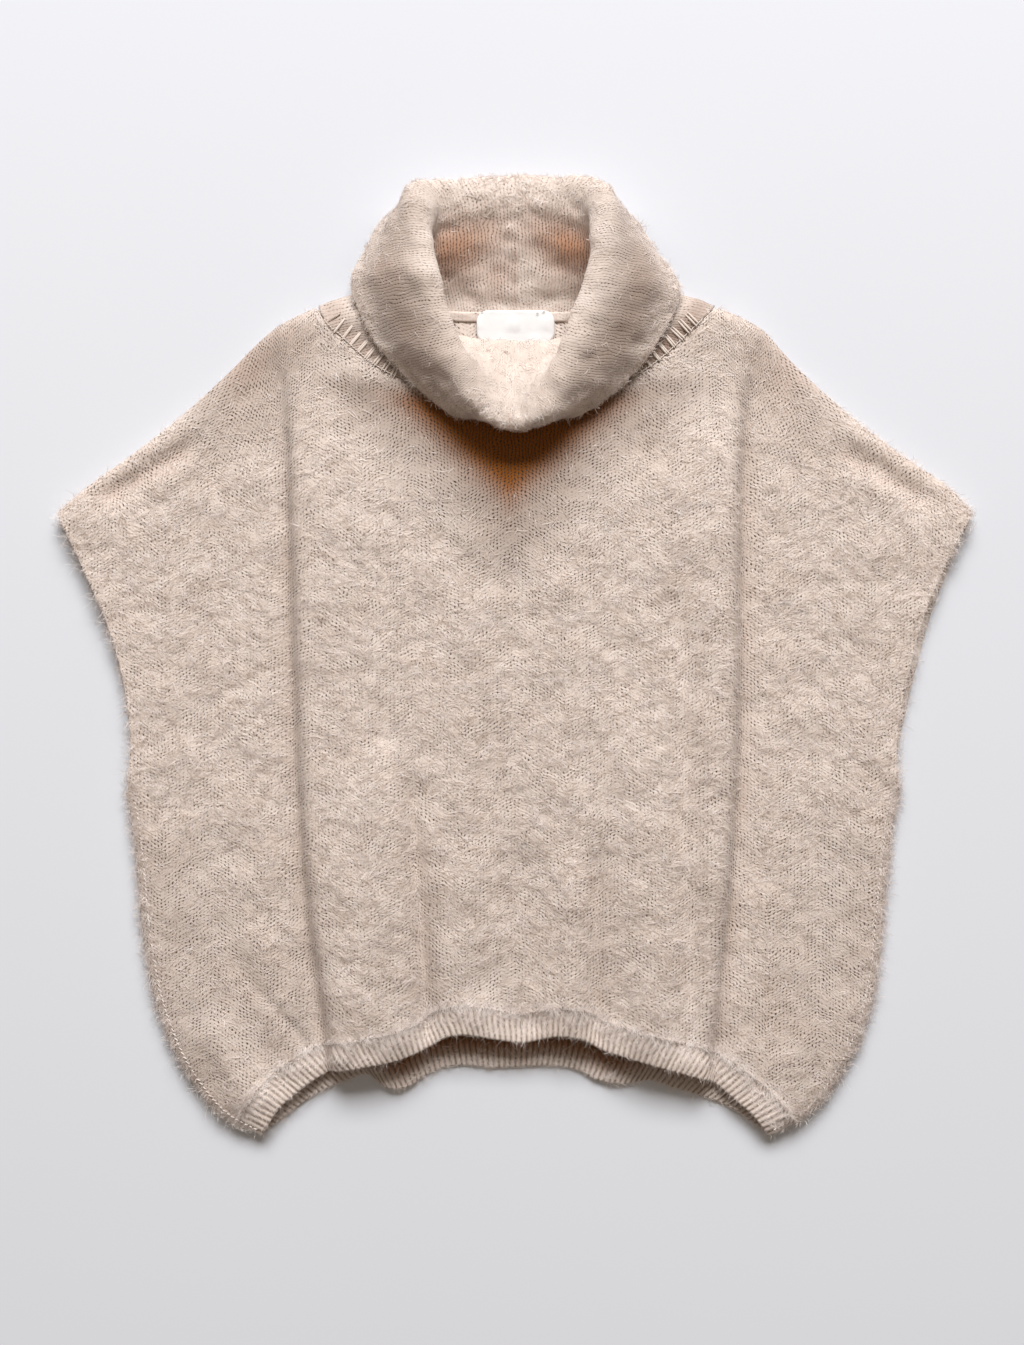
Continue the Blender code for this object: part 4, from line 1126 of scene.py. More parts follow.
def around(values, shares, at):
    """A periodic smooth curve through values at known shares of the neck seam, read at other shares."""
    values = np.asarray(values, float)
    n = len(shares)
    result = []
    for share in at:
        k = int(np.searchsorted(shares, share, side="right")) - 1
        picks = [(k + step) % n for step in (-1, 0, 1, 2)]
        spots = [shares[p] + (k + step - p) // n for p, step in zip(picks, (-1, 0, 1, 2))]
        v0, v1, v2, v3 = (values[p] for p in picks)
        s0, s1, s2, s3 = spots
        t = (share - s1) / (s2 - s1)
        m1 = (v2 - v0) / (s2 - s0) * (s2 - s1)
        m2 = (v3 - v1) / (s3 - s1) * (s2 - s1)
        square, cube = t * t, t * t * t
        point = (2 * cube - 3 * square + 1) * v1 + (cube - 2 * square + t) * m1
        point = point + (3 * square - 2 * cube) * v2 + (cube - square) * m2
        result.append(point)
    return np.array(result)


def collar_row_shares():
    """How far along the collar's depth each row of its grid is, from the neck seam to the free edge."""
    return np.concatenate([np.linspace(0.0, COLLAR_EDGE_SHARES[0], COLLAR_ROWS), COLLAR_EDGE_SHARES[1:]])


def collar_middle(rows, at):
    """The collar's middle surface as a grid whose rows run from the neck seam to the free edge.

    Also gives which way is outward at the neck seam. rows and at are the grid's shares of the collar's
    depth and of the way round.
    """
    ring, out, ring_shares = neck_ring()
    seam = around(ring, ring_shares, at)
    outward = around(out, ring_shares, at)
    outward /= np.linalg.norm(outward, axis=-1, keepdims=True)
    table = np.array(COLLAR_SECTIONS)
    throat, inner, tip, outer_z, edge = (
        around(part, table[:, 0], at)
        for part in (table[:, 1:4], table[:, 4:7], table[:, 7:10], table[:, 10:11], table[:, 11:14])
    )
    columns = []
    for k in range(len(at)):
        low = seam[k] + LOW_SHARE * (throat[k] - seam[k])
        low[2] = seam[k][2] + LOW_RISE * (throat[k][2] - seam[k][2])
        wall = throat[k] + WALL_SHARE * (inner[k] - throat[k])
        outer = tip[k] + OUTER_SHARE * (edge[k] - tip[k])
        outer[2] = outer_z[k][0] + ROLL_EASE
        skirt = outer + SKIRT_SHARE * (edge[k] - outer)
        skirt[2] += SKIRT_CROWN * (outer_z[k][0] - edge[k][2])
        points = [seam[k], low, throat[k], wall, inner[k], tip[k], outer, skirt, edge[k]]
        columns.append(along(smooth(points), rows))
    return np.stack(columns, axis=1), outward


def filled_roll(middle, rows):
    """The collar's middle surface with its roll smoothed and let out, so that it looks full."""
    start, grown = ROLL_START
    end, faded = ROLL_END
    rolled = (smoothstep((rows - start) / grown) * smoothstep((end - rows) / faded))[:, None, None]
    for _ in range(ROLL_SOFTENING):
        eased = middle.copy()
        eased[1:-1] = 0.25 * (middle[:-2] + 2 * middle[1:-1] + middle[2:])
        eased = 0.25 * (np.roll(eased, 1, axis=1) + 2 * eased + np.roll(eased, -1, axis=1))
        middle = middle + rolled * (eased - middle)
    return middle - rolled * ROLL_FILL * normals_of(middle, wrap=True)


def collar_measures(middle):
    """How far along the cloth each point of the collar is from the neck seam, and how long each row is."""
    girth = np.linalg.norm(np.roll(middle, -1, axis=1) - middle, axis=-1).sum(axis=1, keepdims=True)
    return lengths_along(middle), girth


def collar_spots(table, middle, at):
    """Each soft spot of a table, as its size at every point of the collar."""
    depth, girth = collar_measures(middle)
    for share, place, half_width, half_height, amount in table:
        aside = (at[None, :] - share) * girth / half_width
        apart = (depth - place * depth[-1:]) / half_height
        yield amount * np.exp(-(aside**2) - apart**2)


def collar_relief(middle, at):
    """How far the collar's cloth stands out of its plain form: unevenness, dents and its own seam."""
    depth, girth = collar_measures(middle)
    relief = unevenness(COLLAR_UNREST, middle)
    for dent in collar_spots(COLLAR_DENTS, middle, at):
        relief = relief - dent
    sway, sway_length = COLLAR_SEAM_SWAY
    aside = (at[None, :] - COLLAR_SEAM_SHARE) * girth - sway * np.sin(depth / sway_length)
    full, end, fade = COLLAR_SEAM_REACH
    reach = smoothstep(depth / full) * smoothstep((end - depth) / fade)
    pucker, pucker_length = COLLAR_SEAM_PUCKER
    pucker = 1.0 + pucker * np.sin(depth / pucker_length)
    dent, half_width = COLLAR_SEAM_DENT
    return relief - dent * pucker * reach * np.exp(-((aside / half_width) ** 2))


def build_collar(knit):
    """The collar as one tube that rises from the neck seam, rolls over and falls outside itself."""
    rows = collar_row_shares()
    at = np.arange(COLLAR_AROUND) / COLLAR_AROUND
    middle, outward = collar_middle(rows, at)
    middle = filled_roll(middle, rows)
    normal = normals_of(middle, wrap=True)
    ease = smoothstep(rows / COLLAR_TURN)[:, None, None]
    normal = ease * normal + (1.0 - ease) * outward[None]
    normal /= np.linalg.norm(normal, axis=-1, keepdims=True)
    at_seam, at_edge = RELIEF_FADE
    keep = (smoothstep(rows / at_seam) * smoothstep((1.0 - rows) / at_edge))[:, None]
    middle = middle + normal * (keep * collar_relief(middle, at))[..., None]
    wall = COLLAR_WALL / 2 * rim_share(middle, wrap=True, rows=(False, True))
    upper = middle + normal * wall
    lower = middle - normal * wall
    lift = np.maximum(0.0, -np.minimum(upper[..., 2], lower[..., 2]))[..., None] * UP

    across = np.linspace(0.0, COLLAR_STITCHES * WALE, COLLAR_AROUND + 1)
    depth = lengths_along(middle)
    depth = np.concatenate([depth, depth[:, :1]], axis=1)
    place = np.stack([np.broadcast_to(across, depth.shape), -depth], axis=-1)
    collar = add_wall("collar_knit", upper + lift, lower + lift, place, knit, wrap=True)
    # painted warm shade and painted shade of the collar
    for name, table in ((WARM_SHADE, COLLAR_WARM_SHADE), (SHADED, COLLAR_SHADE)):
        mark_shell(collar, name, np.maximum.reduce([*collar_spots(table, middle, at)]))
    return collar


def build_tape(rib):
    """The strip over the back neck seam, on the inside of the garment."""
    x = np.linspace(-TAPE_REACH, TAPE_REACH, TAPE_STEPS + 1)
    seam = np.interp(x, NECK_BACK[:, 0], NECK_BACK[:, 1])
    section = along(smooth(TAPE_SECTION), np.linspace(0.0, 1.0, TAPE_ROWS + 1))
    lower = np.stack([np.stack([x, seam + past, np.full_like(x, z)], axis=-1) for past, z in section])
    wall = TAPE_WALL * rim_share(lower) + unevenness(TAPE_UNREST, lower)[..., None]
    return add_wall("neck_tape_knit", lower + wall * UP, lower, knit_map(lower), rib)


def build_label(satin_weave):
    """A blank woven label with rounded corners that hangs from the tape onto the inside of the back."""
    width, length = LABEL_SIZE
    across = np.linspace(-1.0, 1.0, LABEL_STEPS[0] + 1)
    down = np.linspace(-1.0, 1.0, LABEL_STEPS[1] + 1)
    x, y = np.meshgrid(across * width / 2, -down * length / 2)
    over_x = np.maximum(np.abs(x) - (width / 2 - LABEL_CORNER), 0.0)
    over_y = np.maximum(np.abs(y) - (length / 2 - LABEL_CORNER), 0.0)
    reach = np.hypot(over_x, over_y)
    pull = np.where(reach > 0, np.maximum(over_x, over_y) / np.maximum(reach, 1e-9), 1.0)
    x = np.sign(x) * (np.abs(x) - over_x * (1.0 - pull))
    y = np.sign(y) * (np.abs(y) - over_y * (1.0 - pull))
    shares, heights = np.array(LABEL_SECTION).T
    z = np.interp(0.5 - y / length, shares, heights)
    z = z + np.maximum(0.0, unevenness(LABEL_UNREST, np.stack([x, y], axis=-1)))
    lower = np.stack([LABEL_X + x, LABEL_TOP_Y - length / 2 + y, z], axis=-1)
    upper = lower + (0.0, 0.0, LABEL_WALL)
    return add_wall("neck_label", upper, lower, knit_map(lower), satin_weave)


# Materials ---------------------------------------------------------------------------------------

MATH = "ShaderNodeMath"
VECTOR_MATH = "ShaderNodeVectorMath"
NOISE = "ShaderNodeTexNoise"
MIX = "ShaderNodeMixRGB"
SPAN = "ShaderNodeMapRange"
CARRIED = "ShaderNodeAttribute"
NOISE_MIDDLE = (0.5, 0.5, 0.5)


def linear(code):
    """A hex colour in sRGB as linear red, green, blue and alpha."""
    parts = [int(code[k : k + 2], 16) / 255 for k in (1, 3, 5)]
    return (*(p / 12.92 if p <= 0.04045 else ((p + 0.055) / 1.055) ** 2.4 for p in parts), 1.0)


def add_node(tree, kind, inputs=(), out=0, **settings):
    """Adds a node with its settings, fills its inputs with values or links, and returns one output."""
    node = tree.nodes.new(kind)
    for name, value in settings.items():
        setattr(node, name, value)
    for key, value in inputs.items() if isinstance(inputs, dict) else enumerate(inputs):
        if isinstance(value, bpy.types.NodeSocket):
            tree.links.new(value, node.inputs[key])
        else:
            node.inputs[key].default_value = value
    return node.outputs[out]


def new_material(name, roughness, sheen=0.0):
    """A material with only a shader, whose plain numbers are set on its own sockets."""
    material = bpy.data.materials.new(name)
    material.use_nodes = True
    shader = material.node_tree.nodes["Principled BSDF"]
    shader.inputs["Roughness"].default_value = roughness
    shader.inputs["Specular IOR Level"].default_value = 0.25
    shader.inputs["Sheen Weight"].default_value = sheen
    return material, material.node_tree, shader


def cloth_place(tree):
    """A place on the cloth in millimetres, across and along its stitch columns."""
    uv = add_node(tree, "ShaderNodeUVMap", uv_map=KNIT_MAP)
    return add_node(tree, VECTOR_MATH, {0: uv, "Scale": 1.0 / MM}, operation="SCALE")


def drifted(tree, at):
    """A place on the cloth moved about a little, so that no row of stitches runs dead straight."""
    place = at
    for size, detail, reach in DRIFTS:
        drift = add_node(tree, NOISE, {"Vector": at, "Scale": 1 / size, "Detail": detail}, "Color")
        drift = add_node(tree, VECTOR_MATH, (drift, NOISE_MIDDLE), operation="SUBTRACT")
        place = add_node(tree, VECTOR_MATH, (drift, reach, place), operation="MULTIPLY_ADD")
    return place


def off_middle(tree, place, pitch, span):
    """1 at the side of a stitch or row and 0 at its middle, with the change over a span between."""
    apart = add_node(tree, MATH, (place, pitch), operation="DIVIDE")
    apart = add_node(tree, MATH, (apart,), operation="FRACT")
    apart = add_node(tree, MATH, (apart, 0.5), operation="SUBTRACT")
    apart = add_node(tree, MATH, (apart,), operation="ABSOLUTE")
    return add_node(tree, SPAN, (apart, *span, 0.0, 1.0))


def knitted(name, yarn, gaps, bare, lines, rows, relief, ribs=0.0):
    """Brushed mohair knit: columns of V stitches under a hazy nap, with painted shade in the gaps between
    them.

    The nap lies in slanting strokes that turn at every chevron; the painted gap shade shows in patches. yarn
    is its light, middle, dark and painted warm shade colour, and the other values are those of KNITS.
    """
    light, mid, dark, worn = (linear(code) for code in yarn)
    material, tree, shader = new_material(name, 0.95, sheen=0.3)
    mm = cloth_place(tree)
    x = add_node(tree, "ShaderNodeSeparateXYZ", (drifted(tree, mm),))
    turn = add_node(tree, MATH, (x, CHEVRON), operation="PINGPONG")
    slant = add_node(tree, MATH, (turn, CHEVRON_SLOPE, x.node.outputs[1]), operation="MULTIPLY_ADD")

    # painted shade in the gaps between stitches and in the furrows between columns and rows
    furrow = off_middle(tree, x, WALE, FURROW)
    between = off_middle(tree, slant, COURSE, ROW_GAP)
    gap = add_node(tree, MATH, (furrow, between), operation="MULTIPLY")
    thin = add_node(tree, NOISE, {"Vector": mm, "Scale": 1 / THIN_PATCH, "Detail": 4.0})
    thin = add_node(tree, SPAN, (thin, *THIN_RANGE, bare, 1.0))
    # the warm brown painted shade that the shells carry
    warm_shade = add_node(tree, CARRIED, attribute_name=WARM_SHADE, out="Fac")
    thin = add_node(tree, MATH, (thin, warm_shade), operation="MAXIMUM")
    gap = add_node(tree, MATH, (gap, thin), operation="MULTIPLY")
    gap = add_node(tree, MATH, (gap, gaps), operation="MULTIPLY")
    line = add_node(tree, MATH, (warm_shade, WARM_SHADE_LINES, lines), operation="MULTIPLY_ADD")
    line = add_node(tree, MATH, (furrow, line), operation="MULTIPLY")
    legs = add_node(tree, MATH, (between, thin), operation="MULTIPLY")
    line = add_node(tree, MATH, (legs, rows, line), operation="MULTIPLY_ADD")
    gap_shade = add_node(tree, MATH, (gap, line), operation="ADD", use_clamp=True)

    along_stroke = add_node(tree, MATH, (x, STROKE_LENGTH), operation="DIVIDE")
    across_stroke = add_node(tree, MATH, (slant, STROKE_WIDTH), operation="DIVIDE")
    stroke = add_node(tree, "ShaderNodeCombineXYZ", (along_stroke, across_stroke))
    stroke = add_node(tree, NOISE, {"Vector": stroke, "Scale": 1.0, "Detail": 3.0})
    patch = add_node(tree, NOISE, {"Vector": mm, "Scale": 1 / TONE_PATCH, "Detail": 5.0})
    tone = add_node(tree, MATH, (stroke, 0.5), operation="SUBTRACT")
    tone = add_node(tree, MATH, (tone, STROKE_TONE, patch), operation="MULTIPLY_ADD", use_clamp=True)
    colour = add_node(tree, MIX, (tone, mid, light))
    # mix in the warm brown of the painted shade
    core = add_node(tree, MATH, (warm_shade, WARM_SHADE_CORE), operation="POWER")
    colour = add_node(tree, MIX, (core, colour, worn))
    # painted shade that the shells carry, mixed towards the dark of the gaps
    painted_shade = add_node(tree, CARRIED, attribute_name=SHADED, out="Fac")
    colour = add_node(tree, MIX, (painted_shade, colour, dark))
    # painted shade in the valleys between ribs
    if ribs:
        valley = add_node(tree, CARRIED, attribute_name=RIDGES, out="Fac")
        valley = add_node(tree, SPAN, (valley, *RIB_VALLEY, ribs, 0.0))
        colour = add_node(tree, MIX, (valley, colour, dark))
    colour = add_node(tree, MIX, (gap_shade, colour, dark))
    tree.links.new(colour, shader.inputs["Base Color"])

    height = add_node(tree, MATH, (stroke, STROKE_HEIGHT), operation="MULTIPLY")
    height = add_node(tree, MATH, (line, FURROW_HEIGHT, height), operation="MULTIPLY_ADD")
    height = add_node(tree, MATH, (gap, GAP_HEIGHT, height), operation="MULTIPLY_ADD")
    bump = {"Strength": 1.0, "Distance": relief * MM, "Height": height}
    tree.links.new(add_node(tree, "ShaderNodeBump", bump), shader.inputs["Normal"])
    return material


def fibre(name, colour):
    """Loose mohair, or thread: fine and silky, so it catches the light along its length."""
    material, _, shader = new_material(name, 0.6, sheen=0.3)
    shader.inputs["Base Color"].default_value = linear(colour)
    return material


def satin(name, light, shade):
    """Woven polyester satin of a sewn-in label: fine weft ribs and a soft shine."""
    material, tree, shader = new_material(name, 0.42, sheen=0.2)
    mm = cloth_place(tree)
    weft = add_node(tree, "ShaderNodeTexWave", {"Vector": mm, "Scale": 0.45}, bands_direction="Y")
    cloud = add_node(tree, NOISE, {"Vector": mm, "Scale": 0.12, "Detail": 3.0})
    tone = add_node(tree, MATH, (weft, 0.3, cloud), operation="MULTIPLY_ADD", use_clamp=True)
    colour = add_node(tree, MIX, (tone, linear(shade), linear(light)))
    tree.links.new(colour, shader.inputs["Base Color"])
    bump = add_node(tree, "ShaderNodeBump", {"Strength": 0.5, "Distance": 0.15 * MM, "Height": weft})
    tree.links.new(bump, shader.inputs["Normal"])
    return material


def sweep_paper(name, light, shade):
    """Matt paper sweep of a flat-lay table, pale and slightly cool."""
    material, tree, shader = new_material(name, 0.95)
    place = add_node(tree, "ShaderNodeTexCoord", out="Object")
    cloud = add_node(tree, NOISE, {"Vector": place, "Scale": 1.3, "Detail": 2.0})
    colour = add_node(tree, MIX, (cloud, linear(shade), linear(light)))
    tree.links.new(colour, shader.inputs["Base Color"])
    return material


def finish(name):
    """The named finish of the sweater or its stage, made once from the colours in the panel."""
    colours = bpy.context.scene.sweater_colours
    made = bpy.data.materials.get(name)
    if made:
        return made
    if name in KNITS:
        yarn = (colours.yarn_light, colours.yarn_mid, colours.yarn_shade, colours.yarn_warm_shade)
        return knitted(name, yarn, **KNITS[name])
    if name == "woven satin label":
        return satin(name, colours.label_light, colours.label_shade)
    if name == "matt paper":
        return sweep_paper(name, colours.floor_light, colours.floor_shade)
    fibres = {
        "sewing thread": colours.thread,
        "mohair fibre pale": colours.fibre_pale,
        "mohair fibre warm": colours.fibre_warm,
        "mohair fibre shaded": colours.fibre_shaded,
    }
    return fibre(name, fibres[name])


# Nap and seams -----------------------------------------------------------------------------------


def geometry_tree(name, sizes, **others):
    """An empty geometry node tree with named inputs; returns it and what those inputs give."""
    tree = bpy.data.node_groups.new(name, "GeometryNodeTree")
    tree.interface.new_socket("Geometry", in_out="INPUT", socket_type="NodeSocketGeometry")
    tree.interface.new_socket("Geometry", in_out="OUTPUT", socket_type="NodeSocketGeometry")
    sockets = {**dict.fromkeys(sizes, "Float"), **others, "Seed": "Int", "Material": "Material"}
    for label, kind in sockets.items():
        tree.interface.new_socket(label, in_out="INPUT", socket_type=f"NodeSocket{kind}")
    return tree, tree.nodes.new("NodeGroupInput").outputs


def curled(tree, given, geometry):
    """Strands made real and bent by a fine noise, so that none runs plainly round."""
    real = add_node(tree, "GeometryNodeRealizeInstances", (geometry,))
    place = add_node(tree, "GeometryNodeInputPosition")
    noise = {"Vector": place, "Scale": given["Curl Scale"], "Detail": 1.0}
    wobble = add_node(tree, NOISE, noise, "Color")
    wobble = add_node(tree, VECTOR_MATH, (wobble, NOISE_MIDDLE), operation="SUBTRACT")
    wobble = add_node(tree, VECTOR_MATH, {0: wobble, "Scale": given["Curl"]}, operation="SCALE")
    bent = add_node(tree, VECTOR_MATH, (place, wobble), operation="ADD")
    return add_node(tree, "GeometryNodeSetPosition", {"Geometry": real, "Position": bent})


def close_tree(tree, given, geometry):
    """Ends a tree: instances made real, kept off the floor, shaded smooth, in the given material."""
    real = add_node(tree, "GeometryNodeRealizeInstances", (geometry,))
    place = add_node(tree, "GeometryNodeInputPosition")
    place = add_node(tree, VECTOR_MATH, (place, LOWEST), operation="MAXIMUM")
    kept = add_node(tree, "GeometryNodeSetPosition", {"Geometry": real, "Position": place})
    rounded = add_node(tree, "GeometryNodeSetShadeSmooth", (kept,))
    finished = add_node(tree, "GeometryNodeSetMaterial", {0: rounded, "Material": given["Material"]})
    tree.links.new(finished, tree.nodes.new("NodeGroupOutput").inputs[0])


def swayed(tree, given, rotation, most, turn=0.0):
    """A rotation turned about its own upright: by turn, and at random by up to most either way.

    Also gives the random part.
    """
    least = add_node(tree, MATH, (most, -1.0), operation="MULTIPLY")
    sway = {2: least, 3: most, "Seed": given["Seed"]}
    sway = add_node(tree, "FunctionNodeRandomValue", sway, 1, data_type="FLOAT")
    heading = add_node(tree, MATH, (turn, sway), operation="ADD")
    heading = add_node(tree, "ShaderNodeCombineXYZ", {"Z": heading})
    heading = add_node(tree, "FunctionNodeEulerToRotation", (heading,))
    turned = add_node(tree, "FunctionNodeRotateRotation", (rotation, heading), rotation_space="LOCAL")
    return turned, sway


def nap_tree():
    """Loose fibres combed over a surface, as thin tapered ribbons that arch over it."""
    name = "combed nap"
    if name in bpy.data.node_groups:
        return bpy.data.node_groups[name]
    sizes = ("Density", "Length", "Width", "Arch", "Spread", "Curl", "Curl Scale")
    tree, given = geometry_tree(name, sizes, Mask="String", Steps="Int")
    mask = add_node(tree, "GeometryNodeInputNamedAttribute", (given["Mask"],), data_type="FLOAT")
    density = add_node(tree, MATH, (mask, given["Density"]), operation="MULTIPLY")
    scatter = {"Mesh": given["Geometry"], "Density": density, "Seed": given["Seed"]}
    points = add_node(tree, "GeometryNodeDistributePointsOnFaces", scatter)
    upright = {"Vector": points.node.outputs["Normal"]}
    upright = add_node(tree, "FunctionNodeAlignRotationToVector", upright, axis="Z")
    lay = add_node(tree, "GeometryNodeInputNamedAttribute", (LAY,), data_type="FLOAT_VECTOR")
    combed = {"Rotation": upright, "Vector": lay}
    combed = add_node(tree, "FunctionNodeAlignRotationToVector", combed, axis="X", pivot_axis="Z")
    turned, _ = swayed(tree, given, combed, given["Spread"])

    shortest, longest = NAP_LENGTHS
    size = {2: shortest, 3: longest, "Seed": LENGTH_SEED}
    size = add_node(tree, "FunctionNodeRandomValue", size, 1, data_type="FLOAT")
    length = add_node(tree, MATH, (given["Length"], size), operation="MULTIPLY")
    bulk = add_node(tree, "ShaderNodeCombineXYZ", (length, given["Width"], length))
    grid = {"Size X": 1.0, "Size Y": 1.0, "Vertices X": given["Steps"], "Vertices Y": 2}
    grid = add_node(tree, "GeometryNodeMeshGrid", grid)
    place = add_node(tree, "GeometryNodeInputPosition")
    x = add_node(tree, "ShaderNodeSeparateXYZ", (place,))
    y = x.node.outputs[1]
    x = add_node(tree, MATH, (x, 0.5), operation="ADD")
    taper = add_node(tree, MATH, (x, 2.0), operation="POWER")
    taper = add_node(tree, MATH, (taper, -NAP_TAPER, 1.0), operation="MULTIPLY_ADD")
    y = add_node(tree, MATH, (y, taper), operation="MULTIPLY")
    left = add_node(tree, MATH, (1.0, x), operation="SUBTRACT")
    arch = add_node(tree, MATH, (x, left), operation="MULTIPLY")
    arch = add_node(tree, MATH, (arch, given["Arch"]), operation="MULTIPLY")
    shape = add_node(tree, "ShaderNodeCombineXYZ", (x, y, arch))
    ribbon = add_node(tree, "GeometryNodeSetPosition", {"Geometry": grid, "Position": shape})
    planted = {"Points": points, "Instance": ribbon, "Rotation": turned, "Scale": bulk}
    planted = add_node(tree, "GeometryNodeInstanceOnPoints", planted)
    close_tree(tree, given, curled(tree, given, planted))
    return tree


def stitch_tree():
    """Stitches set along a seam line: short fat bars at a pitch, each turned from the seam's run."""
    name = "seam stitches"
    if name in bpy.data.node_groups:
        return bpy.data.node_groups[name]
    tree, given = geometry_tree(name, ("Pitch", "Length", "Thickness", "Slant", "Unevenness"))
    line = add_node(tree, "GeometryNodeMeshToCurve", (given["Geometry"],))
    beads = {"Curve": line, "Length": given["Pitch"]}
    beads = add_node(tree, "GeometryNodeCurveToPoints", beads, mode="LENGTH")
    level = add_node(tree, "FunctionNodeAlignRotationToVector", {"Vector": UP}, axis="Z")
    level = {"Rotation": level, "Vector": beads.node.outputs["Tangent"]}
    level = add_node(tree, "FunctionNodeAlignRotationToVector", level, axis="X", pivot_axis="Z")
    turned, sway = swayed(tree, given, level, given["Unevenness"], given["Slant"])
    size = add_node(tree, MATH, (sway, 0.8, 1.0), operation="MULTIPLY_ADD")
    length = add_node(tree, MATH, (given["Length"], size), operation="MULTIPLY")
    bulk = add_node(tree, "ShaderNodeCombineXYZ", (length, given["Thickness"], given["Thickness"]))
    bar = {"Segments": 8, "Rings": 5, "Radius": 0.5}
    bar = add_node(tree, "GeometryNodeMeshUVSphere", bar)
    lying = {"Geometry": bar, "Rotation": (0.0, math.pi / 2, 0.0)}
    bar = add_node(tree, "GeometryNodeTransform", lying)
    planted = {"Points": beads, "Instance": bar, "Rotation": turned, "Scale": bulk}
    close_tree(tree, given, add_node(tree, "GeometryNodeInstanceOnPoints", planted))
    return tree


def grown(name, mesh, tree, values):
    """The plain mesh that a geometry node tree makes on another one."""
    carrier = link("carrier", mesh)
    modifier = carrier.modifiers.new("making", "NODES")
    modifier.node_group = tree
    for socket in tree.interface.items_tree:
        if socket.in_out == "INPUT" and socket.name in values:
            modifier[socket.identifier] = values[socket.name]
    ready = carrier.evaluated_get(bpy.context.evaluated_depsgraph_get())
    item = link(name, bpy.data.meshes.new_from_object(ready))
    item.data.name = name
    bpy.data.objects.remove(carrier)
    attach(item, BODY)
    return item


def nap_on(name, shell, mask, lay, tone, strands, seed, length=1.0, width=1.0, **values):
    """Fibres grown on a shell where mask is over 0, lying along lay; both have a value for each point.

    length and width are times those in the panel. Other values are inputs of the tree.
    """
    nap = bpy.context.scene.sweater_nap
    mesh = shell.data.copy()
    mark(mesh, GROW, mask)
    layer = mesh.attributes.new(LAY, "FLOAT_VECTOR", "POINT")
    layer.data.foreach_set("vector", lay.astype(np.float32).ravel())
    areas = np.empty(len(mesh.polygons), np.float32)
    mesh.polygons.foreach_get("area", areas)
    corners = np.empty(len(mesh.loops), np.int32)
    mesh.loops.foreach_get("vertex_index", corners)
    grown_over = (areas * mask[corners.reshape(-1, 4)].mean(axis=1)).sum()
    values = {
        **NAP,
        "Mask": GROW,
        "Density": strands / grown_over,
        "Length": length * nap.length,
        "Width": width * nap.width,
        "Seed": nap.seed + seed,
        "Material": finish(f"mohair fibre {tone}"),
        **values,
    }
    return grown(name, mesh, nap_tree(), values)


def stitches_on(kind, part, points, seed):
    """Stitches of one kind along a line of points in the tables' millimetres."""
    pitch, length, thickness, slant, unevenness, finish_name = STITCHES[kind]
    mesh = bpy.data.meshes.new(kind)
    mesh.from_pydata(in_scene(points).tolist(), [(k, k + 1) for k in range(len(points) - 1)], [])
    values = {
        "Pitch": pitch * MM,
        "Length": length * MM,
        "Thickness": thickness * MM,
        "Slant": slant,
        "Unevenness": unevenness,
        "Seed": seed,
        "Material": finish(finish_name),
    }
    return grown(f"{kind}_{part}", mesh, stitch_tree(), values)


def places_of(item):
    """The points of a finished piece in the tables' millimetres."""
    points = np.empty(len(item.data.vertices) * 3, np.float32)
    item.data.vertices.foreach_get("co", points)
    return points.reshape(-1, 3) / MM + (0.0, ORIGIN_Y, 0.0)


def normals_at(item):
    normals = np.empty(len(item.data.vertices) * 3, np.float32)
    item.data.vertex_normals.foreach_get("vector", normals)
    return normals.reshape(-1, 3)


def upper_side(item):
    """1 on the half of a shell's points that are on its outer side, 0 on its inner side."""
    half = len(item.data.vertices) // 2
    return np.concatenate([np.ones(half), np.zeros(half)])


def value_at(item, name):
    """A named value at each point of a shell."""
    values = np.zeros(len(item.data.vertices), np.float32)
    item.data.attributes[name].data.foreach_get("value", values)
    return values


def nap_left(item, side, warm_shade_loss):
    """How much nap is left on one side of a shell, less under painted warm shade and painted shade."""
    return side * (1.0 - value_at(item, WARM_SHADE)) ** warm_shade_loss * (1.0 - value_at(item, SHADED)) ** SHADED_LOSS


def height_on(item, x, y):
    """Height of a shell's outer side over plan points, that of its nearest point."""
    points = places_of(item)
    points = points[: len(points) // 2]
    apart = np.hypot(points[:, 0] - np.asarray(x)[:, None], points[:, 1] - np.asarray(y)[:, None])
    return points[apart.argmin(axis=1), 2]


def lying(lean):
    """Level directions at an angle from the sweater's width."""
    return np.stack([np.cos(lean), np.sin(lean), 0.0 * lean], axis=-1)


def brushed_lay(points, seed):
    """Which way the nap of a flat panel lies: slanting, turned at each chevron, and tousled."""
    side = np.floor(points[:, 0] / CHEVRON).astype(int) % 2
    tousle, length = NAP_LEAN
    lean = np.where(side, 1.0, -1.0) * math.atan(CHEVRON_SLOPE) + tousle * waves(points[:, :2], length, seed)
    return lying(lean)


def grow_front_nap(strands):
    """Nap of the front in three tones: a painted highlight, a middle tone and a painted shade of one fibre;
    the shaded one is thick where the others are thin.
    """
    front = bpy.data.objects["front_knit"]
    points = places_of(front)
    mask = nap_left(front, upper_side(front), FRONT_LOSS)
    patch = 0.5 + 0.5 * np.tanh(unevenness([NAP_PATCHES], points[:, :2]))
    for k, (tone, share) in enumerate(NAP_TONES):
        cover = mask * (SHADED_COVER - patch if tone == "shaded" else PALE_COVER + patch)
        lay = brushed_lay(points, LAY_SEED + k)
        nap_on(f"front_nap_{tone}", front, cover, lay, tone, int(strands * share), k)


